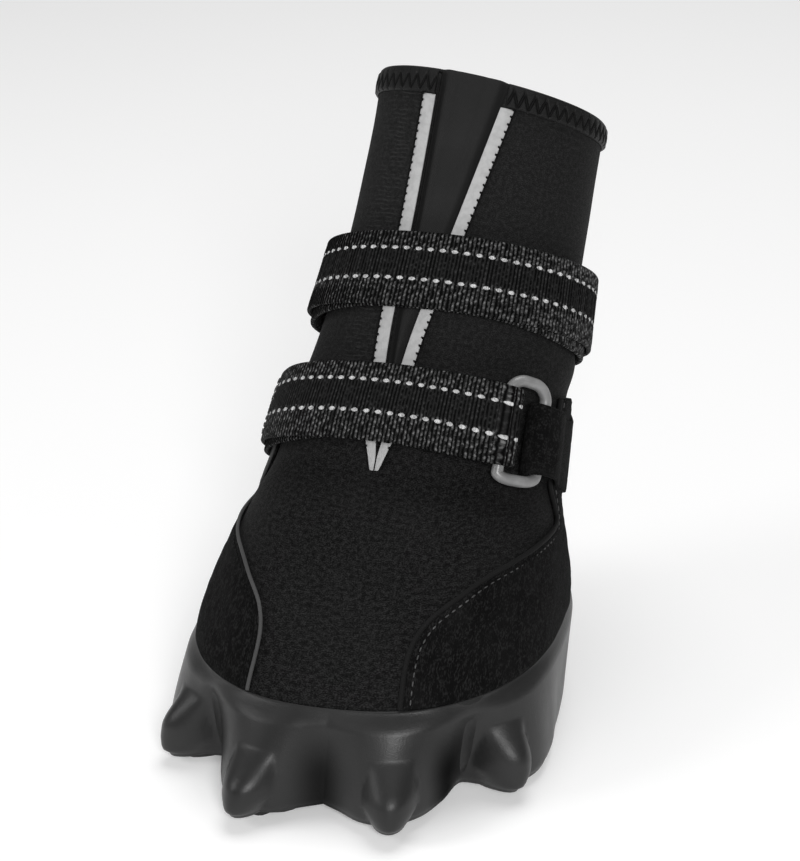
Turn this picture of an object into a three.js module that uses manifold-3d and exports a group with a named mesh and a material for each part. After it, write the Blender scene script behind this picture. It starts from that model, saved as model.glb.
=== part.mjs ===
// Dog boot: a rubber cup sole with four clawed toes under a soft shaft that closes with two webbing straps.
// Millimetres, +z up. The boot stands on z = 0 with its toe towards -y and the ring of its strap at +x.
import * as THREE from 'three';
import { mergeVertices } from 'three/addons/utils/BufferGeometryUtils.js';
import Module from 'manifold-3d';

const wasm = await Module();
wasm.setup();

// Overall sizes
const footLength = 88; // upper, heel to toe, at the edge of the rubber
const ballWidth = 75.5; // upper, across the paw, at the edge of the rubber
const cupHeight = 23.5; // edge of the rubber above the floor
const instepHeight = 54; // foot of the throat above the floor
const instepWidth = 63; // upper, across, at the foot of the throat
const throatSetback = 46.5; // foot of the throat behind the toe
const collarHeight = 128; // front of the collar above the floor
const collarSetback = 87; // front of the collar behind the toe
const collarWidth = 49.5; // collar, side to side
const collarDepth = 42; // collar, front to back along its slant
const collarSlant = 31; // degrees that the collar falls towards its back
const heelDrop = 18; // the heel side of the section through the foot of the throat, below that foot
const heelLean = 4.5; // that heel side behind the heel's edge at the rubber
const toeTuck = 3.5; // how far the last draws in at the floor: toe, heel and sides
const heelTuck = 3;
const sideTuck = 2.5;
const shaftSway = 14; // sideways lean of the collar, towards the ring
const shaftRoll = 10; // degrees that the collar rolls with that lean

// Walls and clearances
const upperWall = 1.6;
const clearance = 0.3; // between neighbouring pieces
const lipWall = 1.8; // rubber at the edge of the cup
const soleFloor = 3.6; // rubber under the foot
const treadDepth = 1.2;
const treadInset = 4; // tread lugs inside the edge of the sole
const toeSpring = 0.8; // rise of the sole's edge at the toes
const insoleThickness = 2.5;
const overlayThickness = 1;
const trimThickness = 0.5;
const gussetThickness = 1;
const bindingThickness = 0.9;
const webbingThickness = 1.1;
const barPlay = 0.45; // between the ring and what is folded round it

// Toes and claws of the cup
const toeFlare = 9; // how far a middle toe stands out from the edge of the cup, at the floor
const clawReach = 4.6; // how far a claw ridge stands out of its toe
const clawWidth = 12;

// Straps, ring and trims
const strapWidth = 16;
const lowerStrapRise = 7.1; // lower edge of the lower strap above the foot of the throat, up the front
const lowerStrapFall = 16.2; // the lower strap's fall from front to back, beyond the slant of the sections
const lowerStrapTwist = 1.5; // how much lower it sits on the ring's side than at the front
const upperStrapRise = 34.7;
const upperStrapFall = 8.4;
const upperStrapTwist = -0.5;
const ringLength = 26;
const ringDepth = 8; // ring, from the strap's bar to the tab's bar
const ringCorner = 3.2; // radius of the ring's corners
const ringWire = 2.5;
const ringBearing = 39; // degrees from straight ahead to the strap's bar of the ring
const ringSag = 1.8; // how much lower the ring and its tab sit than the middle of the lower strap
const tabWidth = 17;
const tabLength = 30;
const throatWidth = 15; // gap between the flaps at the collar
const trimWidth = 3;
const gussetOverlap = 4.5; // gusset beyond the edge of each flap
const bindingHeight = 4.6;
const slotFootLevel = 2.05; // level of the foot of the gap between the flaps
const overlayTop = 2.22; // level of the side overlay's top edge
const overlayTurn = -3.2; // degrees by which its front edges sit round towards the side without the ring

const toeShare = 0.45; // share of the foot in front of the origin
const toeReach = footLength * toeShare;
const heelReach = footLength - toeReach;
const degrees = THREE.MathUtils.degToRad;
const fullTurn = Math.PI * 2;

// Key sections of the last: the points at their front and back, and half their width
const collarFront = toeReach - collarSetback;
const keySections = [
  {
    front: toeReach - toeTuck,
    frontUp: 0,
    back: heelTuck - heelReach,
    backUp: 0,
    half: ballWidth / 2 - sideTuck,
  },
  {
    front: toeReach,
    frontUp: cupHeight,
    back: -heelReach,
    backUp: cupHeight,
    half: ballWidth / 2,
  },
  {
    front: toeReach - throatSetback,
    frontUp: instepHeight,
    back: -heelReach - heelLean,
    backUp: instepHeight - heelDrop,
    half: instepWidth / 2,
  },
  {
    front: collarFront,
    frontUp: collarHeight,
    back: collarFront - collarDepth * Math.cos(degrees(collarSlant)),
    backUp: collarHeight - collarDepth * Math.sin(degrees(collarSlant)),
    half: collarWidth / 2,
  },
];

// Sections of the last. front to half say where each value lies along the key sections, so 1.5 is half way
// between the second and the third. square is the power of the outline, sway and roll are shares of the
// shaft's lean, and throat is the bearing of the throat's middle, in degrees.
const sections = [
  { level: 0, front: 0, frontUp: 0, back: 0, backUp: 0, half: 0, square: 2.4, sway: 0, roll: 0, throat: 0 },
  { level: 0.5, front: 0.75, frontUp: 0.5, back: 0.75, backUp: 0.5, half: 0.75, square: 2.4, sway: 0.06,
    roll: 0, throat: 0 },
  { level: 1, front: 1, frontUp: 1, back: 1, backUp: 1, half: 1, square: 2.4, sway: 0.14,
    roll: 0, throat: 0 },
  { level: 1.2, front: 1.16, frontUp: 1.24, back: 1.12, backUp: 1.22, half: 1.12, square: 2.35, sway: 0.15,
    roll: 0, throat: -1 },
  { level: 1.5, front: 1.46, frontUp: 1.53, back: 1.4, backUp: 1.52, half: 1.45, square: 2.3, sway: 0.16,
    roll: 0, throat: -2 },
  { level: 1.78, front: 1.76, frontUp: 1.79, back: 1.72, backUp: 1.78, half: 1.8, square: 2.25, sway: 0.17,
    roll: 0, throat: -4 },
  { level: 2, front: 2, frontUp: 2, back: 2, backUp: 2, half: 2, square: 2.2, sway: 0.23, roll: 0,
    throat: -6 },
  { level: 2.15, front: 2.13, frontUp: 2.15, back: 2.11, backUp: 2.15, half: 2.2, square: 2.2, sway: 0.36,
    roll: 0.05, throat: -7.5 },
  { level: 2.35, front: 2.33, frontUp: 2.35, back: 2.31, backUp: 2.36, half: 2.52, square: 2.15, sway: 0.56,
    roll: 0.2, throat: -9.5 },
  { level: 2.6, front: 2.59, frontUp: 2.6, back: 2.58, backUp: 2.61, half: 2.84, square: 2.1, sway: 0.76,
    roll: 0.5, throat: -7 },
  { level: 2.8, front: 2.8, frontUp: 2.8, back: 2.8, backUp: 2.8, half: 2.97, square: 2.1, sway: 0.89,
    roll: 0.75, throat: -4 },
  { level: 3, front: 3, frontUp: 3, back: 3, backUp: 3, half: 3, square: 2.1, sway: 1,
    roll: 1, throat: -0.5 },
];

// How far the cup stands out from its own edge at the floor, as a share of toeFlare, by bearing
const cupOutline = [
  { bearing: 0, reach: 0.1 },
  { bearing: 5, reach: 0.38 },
  { bearing: 10, reach: 0.76 },
  { bearing: 16, reach: 0.9 },
  { bearing: 23, reach: 0.64 },
  { bearing: 30, reach: 0.1 },
  { bearing: 38, reach: -0.45 },
  { bearing: 44, reach: 0 },
  { bearing: 50, reach: 0.4 },
  { bearing: 58, reach: 0.52 },
  { bearing: 68, reach: 0.34 },
  { bearing: 80, reach: 0.1 },
  { bearing: 120, reach: -0.08 },
  { bearing: 180, reach: -0.05 },
];

// Claws, the same on both sides: degrees from straight ahead, and the share of the cup's height at which
// each one ends
const claws = [
  { bearing: 16.5, top: 0.62 },
  { bearing: 47, top: 0.68 },
];

// Front edge of the side overlay: bearing from the overlay's own middle by share of its height
const overlayEdge = [
  { rise: 0, bearing: 24 },
  { rise: 0.18, bearing: 24.5 },
  { rise: 0.28, bearing: 28.5 },
  { rise: 0.355, bearing: 36.5 },
  { rise: 0.435, bearing: 49 },
  { rise: 0.5, bearing: 70 },
  { rise: 0.55, bearing: 90 },
  { rise: 0.66, bearing: 87 },
  { rise: 0.82, bearing: 76 },
  { rise: 1, bearing: 78 },
];

function mix(start, end, share) {
  return start + (end - start) * share;
}

// Value of one column of a table at a place on another, on a smooth curve through its rows
function tableValue(rows, placeColumn, place, column) {
  const last = rows.length - 1;
  let index = rows.findIndex((row) => row[placeColumn] > place) - 1;
  index = index < -1 ? last - 1 : Math.min(Math.max(index, 0), last - 1);
  const slopeAt = (row) => {
    const before = rows[Math.max(row - 1, 0)];
    const after = rows[Math.min(row + 1, last)];
    return (after[column] - before[column]) / (after[placeColumn] - before[placeColumn]);
  };
  const start = rows[index];
  const end = rows[index + 1];
  const span = end[placeColumn] - start[placeColumn];
  const share = (place - start[placeColumn]) / span;
  if (share > 1) return end[column] + (place - end[placeColumn]) * slopeAt(index + 1);
  const square = share * share;
  const cube = square * share;
  return (2 * cube - 3 * square + 1) * start[column] + (cube - 2 * square + share) * span * slopeAt(index)
    + (3 * square - 2 * cube) * end[column] + (cube - square) * span * slopeAt(index + 1);
}

function keyValue(column, position) {
  const index = Math.min(Math.floor(position), keySections.length - 2);
  return mix(keySections[index][column], keySections[index + 1][column], position - index);
}

const stations = sections.map((row) => ({
  level: row.level,
  front: keyValue('front', row.front),
  frontUp: keyValue('frontUp', row.frontUp),
  back: keyValue('back', row.back),
  backUp: keyValue('backUp', row.backUp),
  half: keyValue('half', row.half),
  square: row.square,
  sway: shaftSway * row.sway,
  roll: degrees(shaftRoll) * row.roll,
  throat: degrees(row.throat),
}));

const stationCache = new Map();

function stationAt(level) {
  if (!stationCache.has(level)) {
    const station = {};
    for (const column of Object.keys(stations[0])) {
      station[column] = tableValue(stations, 'level', level, column);
    }
    stationCache.set(level, station);
  }
  return stationCache.get(level);
}

// Point on the outside of the upper. level runs from 0 at the floor through 1 at the edge of the rubber and
// 2 at the foot of the throat to 3 at the collar, and angle runs from the front towards +x.
function lastPoint(level, angle) {
  const station = stationAt(level);
  const ahead = Math.cos(angle);
  const aside = Math.sin(angle);
  const swell = (Math.abs(ahead) ** station.square + Math.abs(aside) ** station.square)
    ** (-1 / station.square);
  const along = (ahead * swell + 1) / 2;
  const across = aside * swell * station.half;
  return new THREE.Vector3(
    station.sway + across * Math.cos(station.roll),
    -mix(station.back, station.front, along),
    mix(station.backUp, station.frontUp, along) - across * Math.sin(station.roll),
  );
}

// The same point moved out along the surface's normal
function skin(level, angle, offset) {
  const step = 0.004;
  const around = lastPoint(level, angle + step).sub(lastPoint(level, angle - step));
  const upwards = lastPoint(level + step, angle).sub(lastPoint(level - step, angle));
  const normal = around.cross(upwards).normalize();
  return lastPoint(level, angle).addScaledVector(normal, offset);
}

// Millimetres up the surface for one whole level
function levelLength(level, angle) {
  const step = 0.01;
  return lastPoint(level + step, angle).distanceTo(lastPoint(level - step, angle)) / (2 * step);
}

// Millimetres round the surface for one radian
function turnLength(level, angle) {
  const step = 0.01;
  return lastPoint(level, angle + step).distanceTo(lastPoint(level, angle - step)) / (2 * step);
}

// Bearing on the last of a point beside the throat's middle
function besideThroat(level, across) {
  const station = stationAt(level);
  return station.throat + Math.asin(across / station.half);
}

function range(start, end, steps) {
  return Array.from({ length: steps + 1 }, (_, index) => mix(start, end, index / steps));
}

function geometryFrom(points, triangles) {
  const geometry = new THREE.BufferGeometry();
  const positions = new Float32Array(points.length * 3);
  points.forEach((point, index) => point.toArray(positions, index * 3));
  geometry.setAttribute('position', new THREE.BufferAttribute(positions, 3));
  geometry.setIndex(triangles.flat());
  return geometry;
}

// Closed sheet between two grids of points. Rows run upwards and each row runs towards +x round the front;
// looped rows join end to end.
function sheet(outer, inner, looped) {
  const rows = outer.length;
  const columns = outer[0].length;
  const points = [...outer.flat(), ...inner.flat()];
  const triangles = [];
  const outside = (row, column) => row * columns + (column % columns);
  const inside = (row, column) => rows * columns + outside(row, column);
  const quad = (a, b, c, d) => triangles.push([a, b, c], [a, c, d]);
  const lastColumn = looped ? columns : columns - 1;
  for (let column = 0; column < lastColumn; column += 1) {
    for (let row = 0; row < rows - 1; row += 1) {
      const above = row + 1;
      const beside = column + 1;
      quad(outside(row, column), outside(row, beside), outside(above, beside), outside(above, column));
      quad(inside(row, column), inside(above, column), inside(above, beside), inside(row, beside));
    }
    quad(inside(0, column), inside(0, column + 1), outside(0, column + 1), outside(0, column));
    quad(outside(rows - 1, column), outside(rows - 1, column + 1), inside(rows - 1, column + 1),
      inside(rows - 1, column));
  }
  if (!looped) {
    for (let row = 0; row < rows - 1; row += 1) {
      quad(inside(row, 0), outside(row, 0), outside(row + 1, 0), inside(row + 1, 0));
      quad(outside(row, columns - 1), inside(row, columns - 1), inside(row + 1, columns - 1),
        outside(row + 1, columns - 1));
    }
  }
  return geometryFrom(points, triangles);
}

// Closed body through rings of points, from the lowest to the highest
function body(rings) {
  const count = rings[0].length;
  const points = rings.flat();
  const triangles = [];
  for (let ring = 0; ring < rings.length - 1; ring += 1) {
    for (let index = 0; index < count; index += 1) {
      const next = (index + 1) % count;
      const low = ring * count;
      const high = low + count;
      triangles.push([low + index, low + next, high + next], [low + index, high + next, high + index]);
    }
  }
  const middle = (ring) => {
    const sum = new THREE.Vector3();
    ring.forEach((point) => sum.add(point));
    return sum.divideScalar(count);
  };
  const top = (rings.length - 1) * count;
  points.push(middle(rings[0]), middle(rings[rings.length - 1]));
  for (let index = 0; index < count; index += 1) {
    const next = (index + 1) % count;
    triangles.push([points.length - 2, next, index], [points.length - 1, top + index, top + next]);
  }
  return geometryFrom(points, triangles);
}

// Ring-shaped body whose sections are loops of points
function closedTube(loops) {
  const count = loops[0].length;
  const triangles = [];
  loops.forEach((_, loop) => {
    const here = loop * count;
    const there = ((loop + 1) % loops.length) * count;
    for (let index = 0; index < count; index += 1) {
      const next = (index + 1) % count;
      triangles.push([here + index, there + index, there + next], [here + index, there + next, here + next]);
    }
  });
  return geometryFrom(loops.flat(), triangles);
}

function solid(geometry) {
  const plain = geometry.clone();
  plain.deleteAttribute('normal');
  plain.deleteAttribute('uv');
  const merged = mergeVertices(plain, 1e-5);
  return new wasm.Manifold(new wasm.Mesh({
    numProp: 3,
    vertProperties: new Float32Array(merged.attributes.position.array),
    triVerts: new Uint32Array(merged.index.array),
  }));
}

function geometryOf(manifold) {
  const mesh = manifold.getMesh();
  const geometry = new THREE.BufferGeometry();
  geometry.setAttribute('position', new THREE.BufferAttribute(new Float32Array(mesh.vertProperties), 3));
  geometry.setIndex(Array.from(mesh.triVerts));
  return geometry;
}

// Sheet on the upper between two offsets. edges gives the bearings at which a level starts and ends.
function panel(levels, steps, edges, innerOffset, outerOffset) {
  const grid = (offset) => levels.map((level) => {
    const [start, end] = edges(level);
    return range(start, end, steps).map((angle) => skin(level, angle, offset));
  });
  return solid(sheet(grid(outerOffset), grid(innerOffset), false));
}

const lastAngles = range(0, fullTurn, 44).slice(0, -1);
const lastLevels = [0.6, 1, 1.15, 1.3, 1.45, 1.6, 1.8, 2, 2.12, 2.24, 2.4, 2.6, 2.8];

function levelsBetween(start, end) {
  return [start, ...lastLevels.filter((level) => level > start + 0.01 && level < end - 0.01), end];
}

// Tube between two offsets from the upper. All tubes share their levels and bearings, so that the gap
// between two of them is the same all over.
function tube(start, end, innerOffset, outerOffset) {
  const grid = (offset) => levelsBetween(start, end).map(
    (level) => lastAngles.map((angle) => skin(level, angle, offset)),
  );
  return solid(sheet(grid(outerOffset), grid(innerOffset), true));
}

// The part of such a tube that lies between two edges
function cutTube(start, end, edges, innerOffset, outerOffset) {
  const levels = range(start - 0.02, end + 0.02, 24);
  const cutter = panel(levels, 4, edges, innerOffset - upperWall, outerOffset + upperWall);
  return tube(start, end, innerOffset, outerOffset).intersect(cutter);
}

const boot = new THREE.Group();

function add(name, geometry, material) {
  const mesh = new THREE.Mesh(geometry, material);
  mesh.name = name;
  boot.add(mesh);
}

const rubber = new THREE.MeshStandardMaterial({ color: 0x2b2b2c, roughness: 0.55, metalness: 0 });
const softshell = new THREE.MeshStandardMaterial({ color: 0x121213, roughness: 0.85, metalness: 0 });
const stretch = new THREE.MeshStandardMaterial({ color: 0x161617, roughness: 0.75, metalness: 0 });
const rough = new THREE.MeshStandardMaterial({ color: 0x0c0c0c, roughness: 0.95, metalness: 0 });
const webbing = new THREE.MeshStandardMaterial({ color: 0x101010, roughness: 0.8, metalness: 0 });
const reflective = new THREE.MeshStandardMaterial({ color: 0xa8a8a8, roughness: 0.5, metalness: 0.1 });
const satin = new THREE.MeshStandardMaterial({ color: 0x6a6a6a, roughness: 0.35, metalness: 0.6 });
const foam = new THREE.MeshStandardMaterial({ color: 0x1a1a1a, roughness: 0.9, metalness: 0 });

const soleTop = treadDepth + soleFloor;
const upperFootLevel = (soleTop + clearance) / cupHeight;

// Half the gap between the flaps
function slotHalf(level) {
  return (throatWidth / 2) * Math.max(level - slotFootLevel, 0) / (3 - slotFootLevel);
}

function buildUpper() {
  const slotLevels = range(slotFootLevel, 3.1, 7);
  const slotEdges = (level) => {
    const half = slotHalf(level) + clearance / 2;
    return [besideThroat(level, -half), besideThroat(level, half)];
  };
  const slot = panel(slotLevels, 2, slotEdges, -3 * upperWall, 2 * upperWall);
  const shell = tube(upperFootLevel, 3, -upperWall, 0);
  add('upper', geometryOf(shell.subtract(slot)), softshell);
}

const edgeSway = tableValue(stations, 'level', 1, 'sway'); // how far the cup's edge stands aside of its foot

// Point on the outside of the cup at a share of its height
function cupPoint(angle, rise) {
  const edge = lastPoint(1, angle);
  const centre = new THREE.Vector3(edgeSway, (heelReach - toeReach) / 2, edge.z);
  const outwards = edge.clone().sub(centre);
  const bearing = THREE.MathUtils.radToDeg(Math.abs(Math.atan2(outwards.x, -outwards.y)));
  const flare = tableValue(cupOutline, 'bearing', bearing, 'reach') * toeFlare;
  const clawHalf = THREE.MathUtils.radToDeg(clawWidth / 2 / outwards.length());
  const ridges = claws.map((claw) => {
    const aside = Math.abs(bearing - claw.bearing) / clawHalf;
    return Math.max(1 - aside ** 2, 0) ** 0.8 * Math.max(1 - rise / claw.top, 0) ** 0.55;
  });
  const hem = rise < 0.08 ? 1.2 * (1 - rise / 0.08) : 0;
  const reach = lipWall + flare * (1 - rise ** 1.6) + clawReach * Math.max(...ridges) - hem;
  const point = edge.addScaledVector(outwards.normalize(), reach);
  const spring = toeSpring * Math.max(-point.y / toeReach, 0) ** 2;
  point.x -= edgeSway * (1 - rise);
  point.z = mix(treadDepth + spring, cupHeight, rise);
  return point;
}

const treadRoot = treadDepth + soleFloor / 2; // height at which the tread lugs end inside the sole

function treadLug(lug, side) {
  const outline = new THREE.Shape();
  const half = { across: lug.width * ballWidth / 2, along: lug.length * footLength / 2 };
  outline.absellipse(0, 0, half.across, half.along, 0, fullTurn, false, 0);
  const shape = { depth: treadRoot, bevelEnabled: false, curveSegments: 8 };
  const geometry = new THREE.ExtrudeGeometry(outline, shape);
  geometry.rotateZ(side * degrees(lug.turned));
  geometry.translate(side * lug.across * ballWidth, -lug.along * footLength, 0);
  return solid(geometry);
}

// Tread lugs in pairs: four toe pads, the main pad's sides and the heel's. Centre and size are shares of the
// ball width across and the foot length along, and the turn is in degrees.
const treadLugs = [
  { across: 0.15, along: 0.4, width: 0.2, length: 0.24, turned: 12 },
  { across: 0.4, along: 0.2, width: 0.18, length: 0.24, turned: 38 },
  { across: 0.27, along: -0.06, width: 0.24, length: 0.18, turned: 30 },
  { across: 0.27, along: -0.33, width: 0.24, length: 0.2, turned: -40 },
];
const mainPad = { across: 0, along: 0.04, width: 0.34, length: 0.3, turned: 0 };
const heelPad = { across: 0, along: -0.42, width: 0.26, length: 0.2, turned: 0 };

// Tread lugs, trimmed to a line a little inside the edge of the sole
function buildTread(angles) {
  const outline = [0, treadRoot].map((height) => angles.map((angle) => {
    const point = cupPoint(angle, 0).setZ(0);
    return point.setLength(point.length() - treadInset).setZ(height);
  }));
  const pairs = treadLugs.flatMap((lug) => [treadLug(lug, -1), treadLug(lug, 1)]);
  const pads = wasm.Manifold.union([...pairs, treadLug(mainPad, 1), treadLug(heelPad, 1)]);
  return pads.intersect(solid(body(outline)));
}

function buildOutsole() {
  const toeAngles = range(-65, 65, 68);
  const backAngles = range(65, 295, 28).slice(1, -1);
  const angles = [...toeAngles, ...backAngles].map(degrees);
  const rises = [0, 0.08, 0.2, 0.38, 0.58, 0.8, 1];
  const cup = solid(body(rises.map((rise) => angles.map((angle) => cupPoint(angle, rise)))));
  const cavityLevels = levelsBetween(soleTop / cupHeight, 1.3);
  const cavity = solid(body(cavityLevels.map(
    (level) => lastAngles.map((angle) => skin(level, angle, clearance)),
  )));
  add('outsole', geometryOf(cup.subtract(cavity).add(buildTread(angles))), rubber);
}

function buildInsole() {
  const low = soleTop + clearance;
  const levels = [low / cupHeight, (low + insoleThickness) / cupHeight];
  const rings = levels.map((level) => lastAngles.map((angle) => {
    const point = skin(level, angle, -upperWall - clearance);
    point.z = level * cupHeight;
    return point;
  }));
  add('insole', body(rings), foam);
}

const bindingFootLevel = 3 - bindingHeight / levelLength(3, 0);

function buildGusset() {
  const outer = -upperWall - clearance;
  const edges = (level) => {
    const half = slotHalf(level) + gussetOverlap;
    return [besideThroat(level, -half), besideThroat(level, half)];
  };
  add('gusset', geometryOf(cutTube(1.94, 3, edges, outer - gussetThickness, outer)), stretch);
}

function buildThroatTrims() {
  for (const [name, side] of [['throat_trim_left', -1], ['throat_trim_right', 1]]) {
    const edges = (level) => {
      const inner = Math.max(slotHalf(level), clearance / 2);
      const width = trimWidth * Math.min(1, 0.3 + (level - 2) / 0.06);
      const bearings = [inner, inner + width].map((across) => besideThroat(level, side * across));
      return side > 0 ? bearings : bearings.reverse();
    };
    const top = bindingFootLevel - clearance / levelLength(3, 0);
    add(name, geometryOf(cutTube(2, top, edges, clearance, clearance + trimThickness)), reflective);
  }
}

function buildCollarBinding() {
  const half = slotHalf(3) + clearance / 2;
  const angles = range(besideThroat(3, half), besideThroat(3, -half) + fullTurn, 40);
  const capLevel = (height) => 3 + height / levelLength(3, 0);
  const top = capLevel(clearance + bindingThickness);
  const under = capLevel(clearance);
  const row = (level, offset) => angles.map((angle) => skin(level, angle, offset));
  const outside = clearance + bindingThickness;
  const outer = [row(bindingFootLevel, outside), row(top, outside), row(top, -upperWall)];
  const inner = [row(bindingFootLevel, clearance), row(under, clearance), row(under, -upperWall)];
  add('collar_binding', sheet(outer, inner, false), rough);
}

function buildSideOverlay() {
  const foot = 1 + clearance / levelLength(1.1, Math.PI / 2);
  const edges = (level) => {
    const rise = (level - foot) / (overlayTop - foot);
    const bearing = degrees(tableValue(overlayEdge, 'rise', rise, 'bearing'));
    return [degrees(overlayTurn) - bearing, degrees(overlayTurn) + bearing];
  };
  const outside = clearance + overlayThickness;
  const levels = range(foot - 0.05, overlayTop + 0.05, 26);
  const window = panel(levels, 16, edges, -upperWall, outside + 2 * upperWall);
  add('side_overlay', geometryOf(tube(foot, overlayTop, clearance, outside).subtract(window)), rough);
}

// Band of webbing that follows a path of bearing and height over the upper. levelOf gives the level of its
// middle at a bearing, and its thickness lies across the path.
function band(path, levelOf, width, thickness) {
  const places = path.map(({ angle, lift }) => {
    const level = levelOf(angle);
    const half = width / 2 / levelLength(level, angle);
    return { angle, lift, level, half, reach: turnLength(level, angle) };
  });
  const rows = { outer: [[], []], inner: [[], []] };
  places.forEach((place, index) => {
    const before = places[Math.max(index - 1, 0)];
    const after = places[Math.min(index + 1, places.length - 1)];
    const along = (after.angle - before.angle) * place.reach;
    const rise = after.lift - before.lift;
    const length = Math.hypot(along, rise);
    const turnStep = (-rise / length) * (thickness / 2) / place.reach;
    const liftStep = (along / length) * (thickness / 2);
    [-1, 1].forEach((side, row) => {
      const at = place.level + side * place.half;
      rows.outer[row].push(skin(at, place.angle + turnStep, place.lift + liftStep));
      rows.inner[row].push(skin(at, place.angle - turnStep, place.lift - liftStep));
    });
  });
  return sheet(rows.outer, rows.inner, false);
}

// Level of a strap's middle at a bearing
function strapLevels(rise, fall, twist) {
  const length = levelLength(2.4, 0);
  return (angle) => {
    const drop = fall * (1 - Math.cos(angle)) / 2 + twist * Math.sin(angle);
    return 2 + (rise + strapWidth / 2 - drop) / length;
  };
}

const underLift = clearance + overlayThickness + clearance + webbingThickness / 2;
const topLift = underLift + webbingThickness + clearance;

function buildUpperStrap() {
  const level = strapLevels(upperStrapRise, upperStrapFall, upperStrapTwist);
  const slip = 0.012; // the top layer sits a little higher than the layer under it
  const lift = 2 * clearance + trimThickness + webbingThickness / 2;
  const basePath = range(degrees(-172), degrees(172), 40).map((angle) => ({ angle, lift }));
  const topPath = range(degrees(-112), degrees(150), 32).map((angle) => ({
    angle,
    lift: lift + webbingThickness + clearance,
  }));
  add('upper_strap_base', band(basePath, level, strapWidth, webbingThickness), webbing);
  add('upper_strap', band(topPath, (angle) => level(angle) + slip, strapWidth, webbingThickness), webbing);
}

// Fold of a band round a bar of the ring: bearings before and after the bar's own, in millimetres
function foldPath(bearing, reach, lowLift, highLift, facing, steps) {
  const radius = (highLift - lowLift) / 2;
  const middle = (highLift + lowLift) / 2;
  return range(-90, 90, steps).map((turn) => ({
    angle: bearing + facing * radius * Math.cos(degrees(turn)) / reach,
    lift: middle + radius * Math.sin(degrees(turn)),
  }));
}

const barLift = underLift + webbingThickness / 2 + barPlay + ringWire / 2;
const overLift = barLift + ringWire / 2 + barPlay + webbingThickness / 2;
const lowerLevels = strapLevels(lowerStrapRise, lowerStrapFall, lowerStrapTwist);
const ringLevel = lowerLevels(degrees(ringBearing));
const barReach = turnLength(ringLevel, degrees(ringBearing));
const ringLevels = (angle) => lowerLevels(angle) - ringSag / levelLength(ringLevel, angle);

function buildLowerStrap() {
  const bar = degrees(ringBearing);
  const under = range(degrees(-135), bar - degrees(4), 27).map((angle) => ({ angle, lift: underLift }));
  const fold = foldPath(bar, barReach, underLift, overLift, 1, 6);
  const settle = degrees(30);
  const over = range(bar - degrees(4), degrees(-92), 22).map((angle) => {
    const share = Math.min((bar - angle) / settle, 1);
    const ease = (1 + Math.cos(Math.PI * share)) / 2;
    return { angle, lift: mix(topLift, overLift, ease) };
  });
  add('lower_strap', band([...under, ...fold, ...over], lowerLevels, strapWidth, webbingThickness), webbing);
}

// The ring is bent to the leg's curve, so its spine lies at one height over the upper
function buildRing() {
  const middle = degrees(ringBearing) + ringDepth / 2 / barReach;
  const corner = { x: ringDepth / 2 - ringCorner, y: (ringLength - ringWire) / 2 - ringCorner };
  const spine = (turn, lift) => {
    const side = Math.cos(degrees(turn));
    const end = Math.sin(degrees(turn));
    const angle = middle + (side * ringCorner + Math.sign(side) * corner.x) / barReach;
    const up = end * ringCorner + Math.sign(end) * corner.y;
    return skin(ringLevels(angle) + up / levelLength(ringLevel, angle), angle, lift);
  };
  const cornerTurns = range(6, 84, 4);
  const turns = [0, 90, 180, 270].flatMap((start) => cornerTurns.map((turn) => start + turn));
  const loops = turns.map((turn) => {
    const centre = spine(turn, barLift);
    const outwards = spine(turn, barLift + 1).sub(centre).normalize();
    const radial = spine(turn + 1, barLift).sub(spine(turn - 1, barLift)).cross(outwards).normalize();
    return range(0, 360, 8).slice(0, -1).map((spin) => centre.clone()
      .addScaledVector(radial, Math.cos(degrees(spin)) * ringWire / 2)
      .addScaledVector(outwards, Math.sin(degrees(spin)) * ringWire / 2));
  });
  add('ring', closedTube(loops), satin);
}

function buildRingTab() {
  const bar = degrees(ringBearing) + ringDepth / barReach;
  const end = bar + tabLength / barReach;
  const low = underLift;
  const under = range(end, bar + degrees(4), 11).map((angle) => ({ angle, lift: low }));
  const fold = foldPath(bar, barReach, low, overLift, -1, 6);
  const over = range(bar + degrees(4), end, 11).map((angle) => ({
    angle,
    lift: mix(low + webbingThickness + clearance, overLift,
      (1 + Math.cos(Math.PI * Math.min((angle - bar) / (end - bar) * 1.4, 1))) / 2),
  }));
  const path = [...under, ...fold, ...over];
  add('ring_tab', band(path, ringLevels, tabWidth, overlayThickness), rough);
}

buildOutsole();
buildInsole();
buildUpper();
buildGusset();
buildSideOverlay();
buildThroatTrims();
buildCollarBinding();
buildUpperStrap();
buildLowerStrap();
buildRing();
buildRingTab();

export default boot;
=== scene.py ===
import math

import bmesh
import bpy
import numpy as np
from mathutils import Matrix, Vector


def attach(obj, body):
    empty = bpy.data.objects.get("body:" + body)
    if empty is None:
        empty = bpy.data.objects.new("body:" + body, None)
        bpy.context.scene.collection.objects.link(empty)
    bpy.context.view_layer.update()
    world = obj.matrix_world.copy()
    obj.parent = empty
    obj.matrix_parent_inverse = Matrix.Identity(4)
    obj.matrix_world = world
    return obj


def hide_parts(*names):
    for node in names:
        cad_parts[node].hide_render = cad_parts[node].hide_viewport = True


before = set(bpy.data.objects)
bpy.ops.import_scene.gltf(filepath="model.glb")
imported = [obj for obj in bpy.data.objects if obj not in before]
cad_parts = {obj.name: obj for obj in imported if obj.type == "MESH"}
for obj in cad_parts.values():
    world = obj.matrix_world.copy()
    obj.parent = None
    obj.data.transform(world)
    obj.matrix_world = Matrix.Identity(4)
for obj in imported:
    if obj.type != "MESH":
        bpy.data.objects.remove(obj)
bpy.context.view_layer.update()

MM = 0.001

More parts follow.
